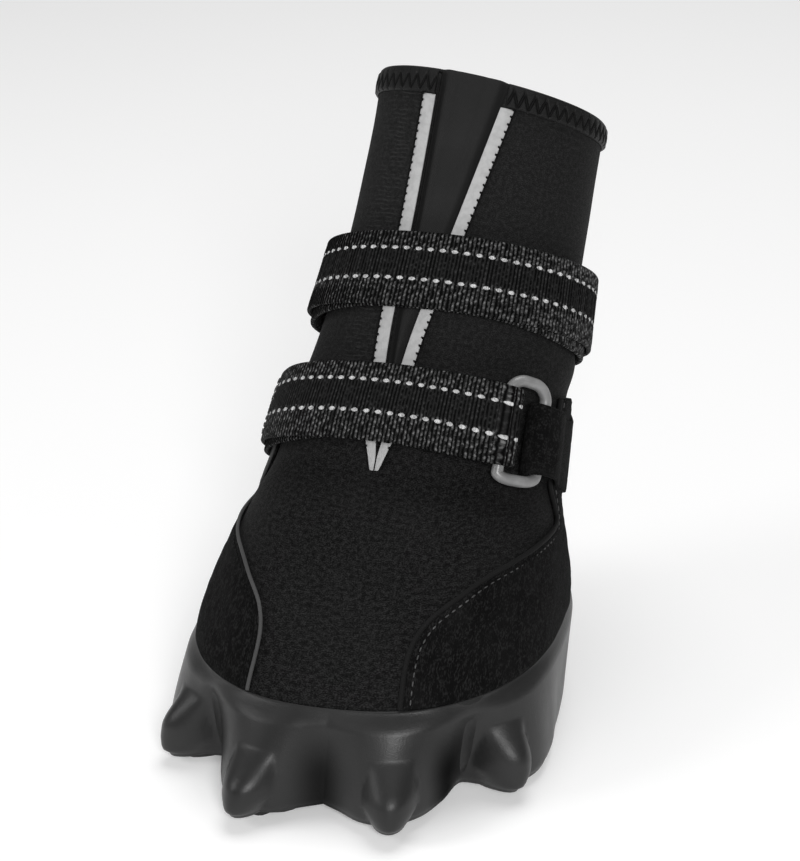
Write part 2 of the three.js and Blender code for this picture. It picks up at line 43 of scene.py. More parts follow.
# Sizes of the boot in millimetres, as in the solids
FOOT_LENGTH = 88.0
BALL_WIDTH = 75.5
CUP_HEIGHT = 23.5
INSTEP_HEIGHT = 54.0
INSTEP_WIDTH = 63.0
THROAT_SETBACK = 46.5
COLLAR_HEIGHT = 128.0
COLLAR_SETBACK = 87.0
COLLAR_WIDTH = 49.5
COLLAR_DEPTH = 42.0
COLLAR_SLANT = math.radians(31)
HEEL_DROP = 18.0
HEEL_LEAN = 4.5
TOE_TUCK = 3.5
HEEL_TUCK = 3.0
SIDE_TUCK = 2.5
SHAFT_SWAY = 14.0
SHAFT_ROLL = math.radians(10)
TOE_REACH = FOOT_LENGTH * 0.45
HEEL_REACH = FOOT_LENGTH - TOE_REACH

UPPER_WALL = 1.6
CLEARANCE = 0.3
LIP_WALL = 1.8
SOLE_FLOOR = 3.6
TREAD_DEPTH = 1.2
TREAD_INSET = 4.0
TOE_SPRING = 0.8
INSOLE_THICKNESS = 2.5
OVERLAY_THICKNESS = 1.0
TRIM_THICKNESS = 0.5
GUSSET_THICKNESS = 1.0
WEBBING = 1.1
BAR_PLAY = 0.45

TOE_FLARE = 9.0
CLAW_REACH = 4.9
CLAW_WIDTH = 12.0

STRAP_WIDTH = 16.0
LOWER_STRAP = {"rise": 7.1, "fall": 16.2, "twist": 1.5}
UPPER_STRAP = {"rise": 34.7, "fall": 8.4, "twist": -0.5}
RING_LENGTH = 26.0
RING_DEPTH = 8.0
RING_CORNER = 3.2
RING_WIRE = 2.5
RING_BEARING = math.radians(39)
RING_SAG = 1.8
TAB_WIDTH = 17.0
TAB_LENGTH = 30.0
THROAT_WIDTH = 15.0
TRIM_WIDTH = 3.0
GUSSET_OVERLAP = 4.5
BINDING_HEIGHT = 4.6
SLOT_FOOT = 2.05
OVERLAY_TOP = 2.22
OVERLAY_TURN = math.radians(-3.2)

COLLAR_FRONT = TOE_REACH - COLLAR_SETBACK
# Key sections of the last: front, height there, back, height there, half the width
KEY_SECTIONS = np.array([
    [TOE_REACH - TOE_TUCK, 0, HEEL_TUCK - HEEL_REACH, 0, BALL_WIDTH / 2 - SIDE_TUCK],
    [TOE_REACH, CUP_HEIGHT, -HEEL_REACH, CUP_HEIGHT, BALL_WIDTH / 2],
    [TOE_REACH - THROAT_SETBACK, INSTEP_HEIGHT, -HEEL_REACH - HEEL_LEAN, INSTEP_HEIGHT - HEEL_DROP, INSTEP_WIDTH / 2],
    [COLLAR_FRONT, COLLAR_HEIGHT, COLLAR_FRONT - COLLAR_DEPTH * math.cos(COLLAR_SLANT),
     COLLAR_HEIGHT - COLLAR_DEPTH * math.sin(COLLAR_SLANT), COLLAR_WIDTH / 2],
])
# level, then where front, height, back, height and half width lie along the key sections, then the outline's
# power, the shares of sway and roll, and the bearing of the throat's middle in degrees
SECTIONS = [
    [0, 0, 0, 0, 0, 0, 2.4, 0, 0, 0],
    [0.5, 0.75, 0.5, 0.75, 0.5, 0.75, 2.4, 0.06, 0, 0],
    [1, 1, 1, 1, 1, 1, 2.4, 0.14, 0, 0],
    [1.2, 1.16, 1.24, 1.12, 1.22, 1.12, 2.35, 0.15, 0, -1],
    [1.5, 1.46, 1.53, 1.4, 1.52, 1.45, 2.3, 0.16, 0, -2],
    [1.78, 1.76, 1.79, 1.72, 1.78, 1.8, 2.25, 0.17, 0, -4],
    [2, 2, 2, 2, 2, 2, 2.2, 0.23, 0, -6],
    [2.15, 2.13, 2.15, 2.11, 2.15, 2.2, 2.2, 0.36, 0.05, -7.5],
    [2.35, 2.33, 2.35, 2.31, 2.36, 2.52, 2.15, 0.56, 0.2, -9.5],
    [2.6, 2.59, 2.6, 2.58, 2.61, 2.84, 2.1, 0.76, 0.5, -7],
    [2.8, 2.8, 2.8, 2.8, 2.8, 2.97, 2.1, 0.89, 0.75, -4],
    [3, 3, 3, 3, 3, 3, 2.1, 1, 1, -0.5],
]
# How far the cup stands out at the floor, as a share of TOE_FLARE, by bearing in degrees
CUP_OUTLINE = [[0, 0.1], [5, 0.38], [10, 0.76], [16, 0.9], [23, 0.64], [30, 0.1], [38, -0.45], [44, 0], [50, 0.4],
               [58, 0.52], [68, 0.34], [80, 0.1], [120, -0.08], [180, -0.05]]
# Claws, the same on both sides: bearing in degrees, and the share of the cup's height at which each one ends
CLAWS = [(16.5, 0.62), (47, 0.68)]
# Painted shade between the toes: bearing in degrees, width in degrees, depth of the painted shade
HOLLOW_SHADES = [(0, 8, 0.8), (32, 8, 1.0)]
# Front edge of the side overlay: bearing in degrees by share of its height
OVERLAY_EDGE = [[0, 24], [0.18, 24.5], [0.28, 28.5], [0.355, 36.5], [0.435, 49], [0.5, 70], [0.55, 90], [0.66, 87],
                [0.82, 76], [1, 78]]


def table_value(rows, place):
    """Columns of a table at places on its first column, on smooth curves through the rows."""
    rows = np.asarray(rows, float)
    place = np.asarray(place, float)
    places = rows[:, 0]
    slopes = np.empty_like(rows)
    slopes[1:-1] = (rows[2:] - rows[:-2]) / (places[2:] - places[:-2])[:, None]
    slopes[0] = (rows[1] - rows[0]) / (places[1] - places[0])
    slopes[-1] = (rows[-1] - rows[-2]) / (places[-1] - places[-2])
    index = np.clip(np.searchsorted(places, place, side="right") - 1, 0, len(places) - 2)
    span = (places[index + 1] - places[index])[..., None]
    share = (place - places[index])[..., None] / span
    square = share * share
    cube = square * share
    smooth = ((2 * cube - 3 * square + 1) * rows[index] + (cube - 2 * square + share) * span * slopes[index]
              + (3 * square - 2 * cube) * rows[index + 1] + (cube - square) * span * slopes[index + 1])
    beyond = rows[-1] + (place - places[-1])[..., None] * slopes[-1]
    return np.where(share > 1, beyond, smooth)


def key_value(column, position):
    """Value of a column part of the way along the key sections."""
    index = min(int(position), len(KEY_SECTIONS) - 2)
    low, high = KEY_SECTIONS[index][column], KEY_SECTIONS[index + 1][column]
    return low + (high - low) * (position - index)


STATIONS = [
    [row[0]] + [key_value(column, row[column + 1]) for column in range(5)]
    + [row[6], SHAFT_SWAY * row[7], SHAFT_ROLL * row[8], math.radians(row[9])]
    for row in SECTIONS
]


def last_point(level, angle):
    """Point on the last: level from the floor to the collar, angle from the front towards +x."""
    level, angle = np.broadcast_arrays(np.asarray(level, float), np.asarray(angle, float))
    _, front, front_up, back, back_up, half, square, sway, roll, _ = np.moveaxis(table_value(STATIONS, level), -1, 0)
    ahead, aside = np.cos(angle), np.sin(angle)
    swell = (np.abs(ahead) ** square + np.abs(aside) ** square) ** (-1 / square)
    along = (ahead * swell + 1) / 2
    across = aside * swell * half
    return np.stack([
        sway + across * np.cos(roll),
        -(back + (front - back) * along),
        back_up + (front_up - back_up) * along - across * np.sin(roll),
    ], -1)


def unit(vectors):
    return vectors / np.linalg.norm(vectors, axis=-1, keepdims=True)


def outward(level, angle):
    """Way out of the surface of the last."""
    step = 0.004
    around = last_point(level, angle + step) - last_point(level, angle - step)
    upwards = last_point(level + step, angle) - last_point(level - step, angle)
    return unit(np.cross(around, upwards))


def skin(level, angle, offset):
    """Point at a distance out from the last, in millimetres."""
    level, angle = np.broadcast_arrays(np.asarray(level, float), np.asarray(angle, float))
    return last_point(level, angle) + outward(level, angle) * np.asarray(offset, float)[..., None]


def level_length(level, angle):
    """Millimetres up the surface for one whole level."""
    step = 0.01
    span = last_point(level + step, angle) - last_point(level - step, angle)
    return np.linalg.norm(span, axis=-1) / (2 * step)


def turn_length(level, angle):
    """Millimetres round the surface for one radian."""
    step = 0.01
    span = last_point(level, angle + step) - last_point(level, angle - step)
    return np.linalg.norm(span, axis=-1) / (2 * step)


def beside_throat(level, across):
    """Bearing of a place some millimetres beside the throat's middle line."""
    station = table_value(STATIONS, level)
    return station[..., 9] + np.arcsin(across / station[..., 5])


def slot_half(level):
    """Half the width of the throat's opening."""
    return THROAT_WIDTH / 2 * np.maximum(level - SLOT_FOOT, 0) / (3 - SLOT_FOOT)


def ease(value):
    """Soft step from 0 to 1."""
    value = np.clip(value, 0, 1)
    return value * value * (3 - 2 * value)


def bump(distance, width):
    """Soft bump that falls to nothing at a width from its middle."""
    share = np.clip(np.abs(distance) / width, 0, 1)
    return (1 - share * share) ** 2


def ripple(across, along, seed):
    """Smooth uneven relief between about -1 and 1, from a few crossed waves."""
    total = np.zeros(np.broadcast(across, along).shape)
    for index in range(5):
        turn = seed * 1.7 + index * 2.399
        pitch = 1 + 0.37 * index
        phase = seed * 3.1 + index * 1.3
        total = total + np.sin((across * math.cos(turn) + along * math.sin(turn)) * pitch + phase) / (1 + 0.4 * index)
    return total / 3.2


# Materials. A helper that takes a socket adds its node to that socket's own tree.

VECTOR, NUMBER, COLOUR = "NodeSocketVector", "NodeSocketFloat", "NodeSocketColor"


def new_group(name, inputs, outputs):
    group = bpy.data.node_groups.new(name, "ShaderNodeTree")
    for label, kind, value in inputs:
        socket = group.interface.new_socket(name=label, in_out="INPUT", socket_type=kind)
        if value is not None:
            socket.default_value = value
    for label, kind in outputs:
        group.interface.new_socket(name=label, in_out="OUTPUT", socket_type=kind)
    entry = group.nodes.new("NodeGroupInput")
    return group, entry.outputs[:len(inputs)], group.nodes.new("NodeGroupOutput")


def add_node(tree, kind, settings=(), **inputs):
    """Adds a node; a name, number, colour or another node's socket goes into each input by its label."""
    made = tree.nodes.new(kind)
    for key, value in dict(settings).items():
        setattr(made, key, value)
    for label, value in inputs.items():
        key = int(label[1:]) if label[0] == "i" and label[1:].isdigit() else label.replace("_", " ")
        socket = made.inputs[key]
        if isinstance(value, bpy.types.NodeSocket):
            tree.links.new(value, socket)
        else:
            socket.default_value = value
    return made


def feed(node, label, socket):
    node.id_data.links.new(socket, node.inputs[label])


def maths(operation, *values):
    tree = next(value.id_data for value in values if isinstance(value, bpy.types.NodeSocket))
    inputs = {f"i{index}": value for index, value in enumerate(values)}
    return add_node(tree, "ShaderNodeMath", {"operation": operation}, **inputs).outputs[0]


def times(first, second):
    return maths("MULTIPLY", first, second)


def times_plus(first, second, third):
    return maths("MULTIPLY_ADD", first, second, third)


def rest_of(share):
    return maths("SUBTRACT", 1.0, share)


def ramp(value, low, high):
    """Soft step from 0 at one value to 1 at another."""
    settings = {"interpolation_type": "SMOOTHSTEP"}
    made = add_node(value.id_data, "ShaderNodeMapRange", settings, Value=value, From_Min=low, From_Max=high)
    return made.outputs["Result"]


def blend(share, first, second):
    """Colour between two others by a share."""
    return add_node(share.id_data, "ShaderNodeMix", {"data_type": "RGBA"}, i0=share, i6=first, i7=second).outputs[2]


def noise(place, scale, **settings):
    return add_node(place.id_data, "ShaderNodeTexNoise", Vector=place, Scale=scale, **settings).outputs["Fac"]


def axes(place):
    return add_node(place.id_data, "ShaderNodeSeparateXYZ", Vector=place).outputs


def painted(tree, name):
    """Mask that a piece's mesh carries under a name."""
    return add_node(tree, "ShaderNodeAttribute", {"attribute_name": name}).outputs["Fac"]


def grey(value, warmth=0.0):
    return (value * (1 + warmth), value, value * (1 - warmth), 1)


def build_fleck_group():
    """Fine grain of cloth, nap or rubber: a height and a mask of lighter flecks, both at a real size in metres."""
    group, (place, size, density), leave = new_group(
        "Fine flecks", [("Place", VECTOR, None), ("Size", NUMBER, 0.0004), ("Density", NUMBER, 0.6)],
        [("Height", NUMBER), ("Fleck", NUMBER)])
    scale = maths("DIVIDE", 1.0, size)
    fine = noise(place, scale, Detail=3.0, Roughness=0.65)
    coarse = noise(place, times(scale, 0.31), Detail=2.0)
    height = times(fine, maths("ADD", coarse, 0.5))
    edge = rest_of(times(density, 0.7))
    feed(leave, "Height", height)
    feed(leave, "Fleck", ramp(height, times(edge, 0.72), edge))
    return group


def build_weave_group():
    """Crossed threads at a pitch in metres on the cloth's own map."""
    group, (place, pitch_round, pitch_up), leave = new_group(
        "Crossed threads",
        [("Place", VECTOR, None), ("Pitch round", NUMBER, 0.0005), ("Pitch up", NUMBER, 0.0005)],
        [("Height", NUMBER)])
    parts = axes(place)
    stray = times(noise(place, 700.0, Detail=1.0), 1.4)
    warp, weft = [maths("SINE", times_plus(maths("DIVIDE", parts[axis], pitch), math.tau, stray))
                  for axis, pitch in (("X", pitch_round), ("Y", pitch_up))]
    feed(leave, "Height", times_plus(times(warp, weft), 0.5, 0.5))
    return group


def build_wear_group():
    """Colour that drifts softly over the surface, with a little pale dust in patches."""
    group, (place, colour, pale, patch, amount), leave = new_group(
        "Worn colour",
        [("Place", VECTOR, None), ("Colour", COLOUR, (0.1, 0.1, 0.1, 1)), ("Pale", COLOUR, (0.2, 0.2, 0.2, 1)),
         ("Patch", NUMBER, 0.02), ("Amount", NUMBER, 0.3)],
        [("Colour", COLOUR), ("Mask", NUMBER)])
    patches = noise(place, maths("DIVIDE", 1.0, patch), Detail=4.0)
    mask = times(ramp(patches, 0.38, 0.72), amount)
    feed(leave, "Colour", blend(mask, colour, pale))
    feed(leave, "Mask", mask)
    return group


FLECKS = build_fleck_group()
THREADS = build_weave_group()
WORN = build_wear_group()


def use_group(group, place, **inputs):
    return add_node(place.id_data, "ShaderNodeGroup", {"node_tree": group}, Place=place, **inputs).outputs


def start_finish(name, value, roughness, specular, sheen=0.0, sheen_roughness=0.5, metallic=0.0):
    made = bpy.data.materials.new(name)
    made.use_nodes = True
    shader = made.node_tree.nodes["Principled BSDF"]
    looks = {"Base Color": grey(value), "Roughness": roughness, "Specular IOR Level": specular, "Sheen Weight": sheen,
             "Sheen Roughness": sheen_roughness, "Metallic": metallic}
    for label, look in looks.items():
        shader.inputs[label].default_value = look
    return made, made.node_tree, shader


def cloth_map(tree):
    return add_node(tree, "ShaderNodeUVMap", {"uv_map": "cloth"}).outputs["UV"]


def object_place(tree):
    return tree.nodes.new("ShaderNodeTexCoord").outputs["Object"]


def add_relief(shader, *layers):
    """Bump from several heights, each with its depth in metres, one on another."""
    normal = None
    for height, depth in layers:
        made = add_node(shader.id_data, "ShaderNodeBump", Height=height, Distance=depth, Strength=1.0)
        if normal is not None:
            feed(made, "Normal", normal)
        normal = made.outputs["Normal"]
    feed(shader, "Normal", normal)


DUST_HEIGHT = 0.003


def rubber_finish():
    """Moulded rubber with painted shade in the hollows between the toes, where a mask makes it darker and duller, with
    dust at the floor.
    """
    made, tree, shader = start_finish("Moulded rubber", 0.022, 0.42, 0.24)
    place = object_place(tree)
    worn = use_group(WORN, place, Colour=grey(0.0165), Pale=grey(0.0225), Patch=0.016, Amount=0.7)
    flecks = use_group(FLECKS, place, Size=0.00032, Density=0.5)
    hollow_shade = painted(tree, "hollow_shade")
    dust = times(rest_of(ramp(axes(place)["Z"], 0.0, DUST_HEIGHT)), 0.12)
    # Painted shade: the mask darkens the rubber towards near black between the toes, and below it cuts the rubber's
    # reflections there
    colour = blend(times(hollow_shade, 0.9), worn["Colour"], grey(0.003))
    feed(shader, "Base Color", blend(dust, colour, grey(0.05, 0.04)))
    feed(shader, "Specular IOR Level", times_plus(hollow_shade, -0.27, 0.3))
    feed(shader, "Roughness", times_plus(hollow_shade, 0.3, times_plus(worn["Mask"], 0.12, 0.36)))
    add_relief(shader, (flecks["Height"], 0.00004))
    return made


# Heights in metres between which painted light turns the coated fabric from a darker grey lower down to a lighter grey
# higher up, as more light falls on the shaft than on the vamp
PAINTED_LIGHT_HEIGHTS = (0.045, 0.085)
PUCKER_PITCH = 0.00092


def softshell_finish():
    """Dark stretch fabric with a fine grain, faint rows, painted light that makes it lighter higher up, and small
    puckers where the mask gather asks for them, with painted highlights on their crests.
    """
    made, tree, shader = start_finish("Coated stretch fabric", 0.008, 0.85, 0.08, sheen=0.02, sheen_roughness=0.4)
    place = cloth_map(tree)
    # Painted light: the fabric's grey is lighter higher up the boot
    base = blend(ramp(axes(object_place(tree))["Z"], *PAINTED_LIGHT_HEIGHTS), grey(0.0012), grey(0.0072))
    worn = use_group(WORN, place, Colour=base, Pale=grey(0.006), Patch=0.021, Amount=0.5)
    flecks = use_group(FLECKS, place, Size=0.0003, Density=0.62)
    rows = use_group(THREADS, place, Pitch_round=0.0016, Pitch_up=0.00042)
    pale = times(ramp(flecks["Height"], 0.36, 0.74), times_plus(rows["Height"], 0.4, 0.6))
    colour = blend(pale, worn["Colour"], grey(0.026))
    phase = times_plus(axes(place)["Y"], math.tau / PUCKER_PITCH, times(noise(place, 260.0, Detail=2.0), 9.0))
    crest = ramp(maths("SINE", phase), 0.1, 1.0)
    pucker = times(times(crest, painted(tree, "gather")), ramp(noise(place, 420.0), 0.38, 0.6))
    # Painted highlight: the crests of the puckers are made lighter, on top of their bump below
    feed(shader, "Base Color", blend(times(pucker, 0.6), colour, grey(0.034)))
    add_relief(shader, (pucker, 0.00013), (rows["Height"], 0.00003), (flecks["Height"], 0.00013))
    return made


def knit_finish(name, value, pitch, sheen, roughness=0.8, specular=0.2):
    made, tree, shader = start_finish(name, value, roughness, specular, sheen=sheen, sheen_roughness=0.35)
    place = cloth_map(tree)
    worn = use_group(WORN, place, Colour=grey(value), Pale=grey(value * 1.6), Patch=0.014, Amount=0.6)
    weave = use_group(THREADS, place, Pitch_round=pitch, Pitch_up=pitch * 0.8)
    flecks = use_group(FLECKS, place, Size=0.0005, Density=0.5)
    feed(shader, "Base Color", blend(times(weave["Height"], 0.35), worn["Colour"], grey(value * 1.9)))
    add_relief(shader, (flecks["Height"], 0.00006), (weave["Height"], 0.00006))
    return made


def suede_finish():
    """Rough suede, its nap drawn out up the boot."""
    made, tree, shader = start_finish("Rough suede", 0.005, 0.95, 0.04, sheen=0.015, sheen_roughness=0.3)
    place = cloth_map(tree)
    drawn_out = add_node(tree, "ShaderNodeMapping", Vector=place, Scale=(1.0, 0.55, 1.0)).outputs["Vector"]
    flecks = use_group(FLECKS, drawn_out, Size=0.0003, Density=0.5)
    worn = use_group(WORN, place, Colour=grey(0.0036), Pale=grey(0.0075), Patch=0.009, Amount=0.8)
    feed(shader, "Base Color", blend(times(flecks["Fleck"], 0.4), worn["Colour"], grey(0.03)))
    add_relief(shader, (flecks["Height"], 0.00034))
    return made


# Pattern of the webbing in metres: where the fine middle begins and ends across it, the pitches of its ribs and
# beads, and the places, half width and pitch of its rows of pale dashes
MIDDLE_BEGINS, MIDDLE_ENDS = (0.0060, 0.0068), (0.0116, 0.0124)
COARSE_PITCH, FINE_PITCH, BEAD_PITCH = 0.0016, 0.0014, 0.0011
DASH_ROWS, DASH_HALF, DASH_PITCH = (0.0058, 0.0123), 0.0004, 0.0024


def webbing_finish():
    """Ribbed webbing: beaded ribs in the edge bands with painted glints on their crests, finer ones between, and two
    rows of pale dashes.
    """
    made, tree, shader = start_finish("Ribbed webbing", 0.008, 0.75, 0.05)
    place = cloth_map(tree)
    parts = axes(place)
    along, across = parts["X"], parts["Y"]
    waver = noise(place, 900.0, Detail=2.0)
    stray = times(waver, 3.0)
    middle = times(ramp(across, *MIDDLE_BEGINS), rest_of(ramp(across, *MIDDLE_ENDS)))
    coarse = maths("SINE", times_plus(along, math.tau / COARSE_PITCH, stray))
    fine = maths("SINE", times_plus(along, math.tau / FINE_PITCH, waver))
    beads = maths("SINE", times_plus(across, math.tau / BEAD_PITCH, stray))
    beads = times_plus(times(coarse, beads), 0.5, 0.5)
    coarse = ramp(maths("ABSOLUTE", coarse), 0.3, 1.0)
    fine = ramp(maths("ABSOLUTE", fine), 0.2, 1.0)
    # Painted glints: lighter specks on the crests of the beaded ribs in the edge bands, fewer in the middle
    painted_glint = times(coarse, times_plus(ramp(beads, 0.3, 0.9), 0.65, 0.35))
    painted_glint = times(times(painted_glint, ramp(waver, 0.4, 0.64)), times_plus(middle, -0.85, 1.0))
    rib = times_plus(maths("SUBTRACT", fine, coarse), middle, coarse)
    colour = blend(painted_glint, blend(rib, grey(0.0005), grey(0.012)), grey(0.15))
    dash = maths("SINE", times(along, math.tau / DASH_PITCH))
    spots = []
    for row in DASH_ROWS:
        off = maths("DIVIDE", maths("ABSOLUTE", maths("SUBTRACT", across, row)), DASH_HALF)
        spots.append(ramp(times_plus(dash, 0.9, rest_of(maths("POWER", off, 2.0))), 0.7, 1.1))
    dashes = maths("MAXIMUM", *spots)
    faded = times(dashes, times_plus(ramp(waver, 0.36, 0.6), 0.4, 0.6))
    feed(shader, "Base Color", blend(faded, colour, grey(0.6)))
    add_relief(shader, (times_plus(beads, 0.5, rib), 0.00024), (dashes, 0.00012))
    return made


def plain_finish(name, values, patch, amount, size, density, depth, place_of=object_place, **looks):
    """Colour that drifts between the last two of three greys in patches, with a fine grain."""
    made, tree, shader = start_finish(name, values[0], **looks)
    place = place_of(tree)
    worn = use_group(WORN, place, Colour=grey(values[1]), Pale=grey(values[2]), Patch=patch, Amount=amount)
    flecks = use_group(FLECKS, place, Size=size, Density=density)
    feed(shader, "Base Color", worn["Colour"])
    add_relief(shader, (flecks["Height"], depth))
    return made, shader, flecks


def tape_finish():
    return plain_finish("Light grey tape", (0.55, 0.41, 0.33), 0.0012, 0.8, 0.0003, 0.5, 0.00006, cloth_map,
                        roughness=0.6, specular=0.25)[0]


def thread_finish(name, value):
    return plain_finish(name, (value, value, value * 2.2), 0.0007, 0.8, 0.00018, 0.6, 0.00005, roughness=0.6,
                        specular=0.12)[0]


def ring_finish():
    made, shader, flecks = plain_finish("Satin grey ring", (0.24, 0.19, 0.27), 0.003, 0.7, 0.0004, 0.4, 0.00003,
                                        roughness=0.34, specular=0.45, metallic=0.1)
    feed(shader, "Roughness", times_plus(flecks["Fleck"], 0.16, 0.34))
    return made


RUBBER = rubber_finish()
SOFTSHELL = softshell_finish()
LINING = knit_finish("Knit lining", 0.008, 0.0009, 0.02)
STRETCH = knit_finish("Smooth stretch panel", 0.0105, 0.0005, 0.02)
INSOLE_CLOTH = knit_finish("Insole cloth", 0.02, 0.0012, 0.05)
SUEDE = suede_finish()
WEBBING_CLOTH = webbing_finish()
TAPE = tape_finish()
BINDING_CLOTH = knit_finish("Folded stretch tape", 0.005, 0.0006, 0.02, roughness=0.5, specular=0.16)
PALE_PIPING = knit_finish("Pale piping", 0.05, 0.0006, 0.03)
DARK_PIPING = knit_finish("Dark piping", 0.003, 0.0006, 0.01)
BLACK_THREAD = thread_finish("Black thread", 0.0012)
GREY_THREAD = thread_finish("Dark grey thread", 0.05)
RING_GREY = ring_finish()


# Shapes

def loft(points, flat=None, masks=None):
    """Grid of faces through rows of points in millimetres, with the cloth map from flat, also in millimetres."""
    rows, columns = points.shape[:2]
    shape = bmesh.new()
    cloth = shape.loops.layers.uv.new("cloth")
    layers = {name: shape.verts.layers.float.new(name) for name in (masks or {})}
    bmesh.ops.create_grid(shape, x_segments=columns - 1, y_segments=rows - 1, size=0.5)
    places = np.array([vert.co[:2] for vert in shape.verts]) + 0.5
    column = np.rint(places[:, 0] * (columns - 1)).astype(int)
    row = np.rint(places[:, 1] * (rows - 1)).astype(int)
    seats = points[row, column] * MM
    for vert, seat in zip(shape.verts, seats):
        vert.co = seat
    for name, values in (masks or {}).items():
        layer = layers[name]
        for vert, value in zip(shape.verts, values[row, column]):
            vert[layer] = value
    if flat is not None:
        shape.verts.index_update()
        spread = flat[row, column] * MM
        for face in shape.faces:
            for corner in face.loops:
                corner[cloth].uv = spread[corner.vert.index]
    bmesh.ops.remove_doubles(shape, verts=shape.verts, dist=1e-6)
    return shape


def turn_out(shape):
    bmesh.ops.recalc_face_normals(shape, faces=shape.faces)


def close_ends(shape):
    bmesh.ops.holes_fill(shape, edges=[edge for edge in shape.edges if edge.is_boundary], sides=0)
    turn_out(shape)


def finish_piece(name, shape, finishes, stands_for=()):
    """Makes a visible piece of a shape with its finishes, attached to the root body and in place of the solids it
    stands for.
    """
    mesh = bpy.data.meshes.new(name)
    shape.to_mesh(mesh)
    shape.free()
    mesh.shade_smooth()
    for finish in finishes:
        mesh.materials.append(finish)
    made = bpy.data.objects.new(name, mesh)
    bpy.context.scene.collection.objects.link(made)
    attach(made, "root")
    if stands_for:
        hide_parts(*stands_for)
    return made


def thicken(made, thickness, lining=0):
    """Gives an open sheet a wall on its inner side, whose inside takes the material lining places on."""
    wall = made.modifiers.new("Wall", "SOLIDIFY")
    wall.thickness = thickness * MM
    wall.offset = -1
    wall.use_even_offset = False
    wall.material_offset = lining


THREAD_FLATNESS = 0.8
THREAD_LIFT = 0.2


def sew(name, stitches, thickness, finish):
    """Stitches as slim rounded threads. Each is its start, its end and the way out of the surface, in millimetres."""
    shape = bmesh.new()
    shape.loops.layers.uv.new("cloth")
    for start, end, out in stitches:
        start, end, out = Vector(start) * MM, Vector(end) * MM, Vector(out).normalized()
        along = end - start
        side = along.cross(out).normalized()
        out = side.cross(along).normalized()
        length = along.length
        turn = Matrix((side, out, along / length)).transposed().to_4x4()
        size = Matrix.Diagonal((thickness * MM / 2, thickness * MM / 2 * THREAD_FLATNESS, length / 2, 1))
        seat = Matrix.Translation((start + end) / 2 + out * thickness * MM * THREAD_LIFT)
        bmesh.ops.create_uvsphere(shape, u_segments=6, v_segments=5, radius=1, matrix=seat @ turn @ size)
    finish_piece(name, shape, [finish])


def run_along(points):
    """Length along a line of points, at each of them."""
    return np.concatenate([[0], np.cumsum(np.linalg.norm(np.diff(points, axis=0), axis=1))])


def point_at(line, place):
    """Point on a line of points at a whole or broken index."""
    return np.array([np.interp(place, np.arange(len(line)), line[:, axis]) for axis in range(3)])


def crossed(across, up):
    """Pairs of numbers for a grid, from those of its columns and those of its rows."""
    return np.stack(np.broadcast_arrays(across[None, :], up[:, None]), -1)


def paired(first, second):
    return np.stack(np.broadcast_arrays(first, second), -1)


def walk(points, pitch):
    """Places at an even pitch along a line of points, as whole and broken indices."""
    lengths = run_along(points)
    count = max(int(lengths[-1] / pitch), 1)
    return np.interp(np.linspace(0, lengths[-1], count + 1), lengths, np.arange(len(points)))


def tube_round(centres, side, out, radius, sides, flatness=1.0):
    """Rings of points round a line, with two crossed ways out of it given at each of its points."""
    turn = np.linspace(0, math.tau, sides + 1)
    return (centres[None] + side[None] * (np.cos(turn) * radius)[:, None, None]
            + out[None] * (np.sin(turn) * radius * flatness)[:, None, None])


def dashes_along(line, ways, pitch, share):
    """Straight stitches along a line, each with a gap after it."""
    places = walk(line, pitch)
    return [(point_at(line, start), point_at(line, start + (end - start) * share), point_at(ways, start))
            for start, end in zip(places[:-1], places[1:])]


def zigzag_along(low_line, high_line, ways, pitch):
    """Slanted stitches that run to and fro between two lines."""
    places = walk(low_line, pitch / 2)
    lines = (low_line, high_line)
    return [(point_at(lines[index % 2], start), point_at(lines[1 - index % 2], end), point_at(ways, start))
            for index, (start, end) in enumerate(zip(places[:-1], places[1:]))]


# Rubber cup

EDGE_SWAY = float(table_value(STATIONS, 1.0)[7])
FOOT_MIDDLE = (HEEL_REACH - TOE_REACH) / 2
FLOOR_UP = TREAD_DEPTH + SOLE_FLOOR


def cup_wall(angle, rise):
    """Outside of the rubber cup at a share of its height."""
    edge = last_point(1.0, angle)
    out = edge - np.array([EDGE_SWAY, FOOT_MIDDLE, CUP_HEIGHT])
    reach_here = np.linalg.norm(out, axis=-1)
    bearing = np.degrees(np.abs(np.arctan2(out[..., 0], -out[..., 1])))
    flare = table_value(CUP_OUTLINE, bearing)[..., 1] * TOE_FLARE
    knuckle = 1 - rise ** 1.6
    lip = LIP_WALL * (0.12 + 0.88 * ease((1 - rise) / 0.16))
    ridge = np.zeros_like(bearing + rise)
    for toe, top in CLAWS:
        aside = np.radians(bearing - toe) * reach_here
        half = CLAW_WIDTH / 2 * (0.7 + 0.14 * bump(rise - 0.28, 0.3) - 0.22 * bump(rise, 0.22))
        share = np.clip(np.abs(aside) / half, 0, 1)
        dome = (1 - share ** 2) ** 0.8
        tall = ease((top - rise) / (top * 0.55)) ** 0.7
        tip = 1 - 0.24 * bump(rise, 0.1)
        ridge = np.maximum(ridge, CLAW_REACH * dome * tall * tip)
    hem = 0.7 * bump(rise, 0.08)
    reach = lip + flare * knuckle + ridge - hem
    point = edge + out / reach_here[..., None] * reach[..., None]
    spring = TOE_SPRING * np.maximum(-point[..., 1] / TOE_REACH, 0) ** 2
    low = TREAD_DEPTH + spring
    return np.stack([point[..., 0] - EDGE_SWAY * (1 - rise), point[..., 1], low + (CUP_HEIGHT - low) * rise], -1)


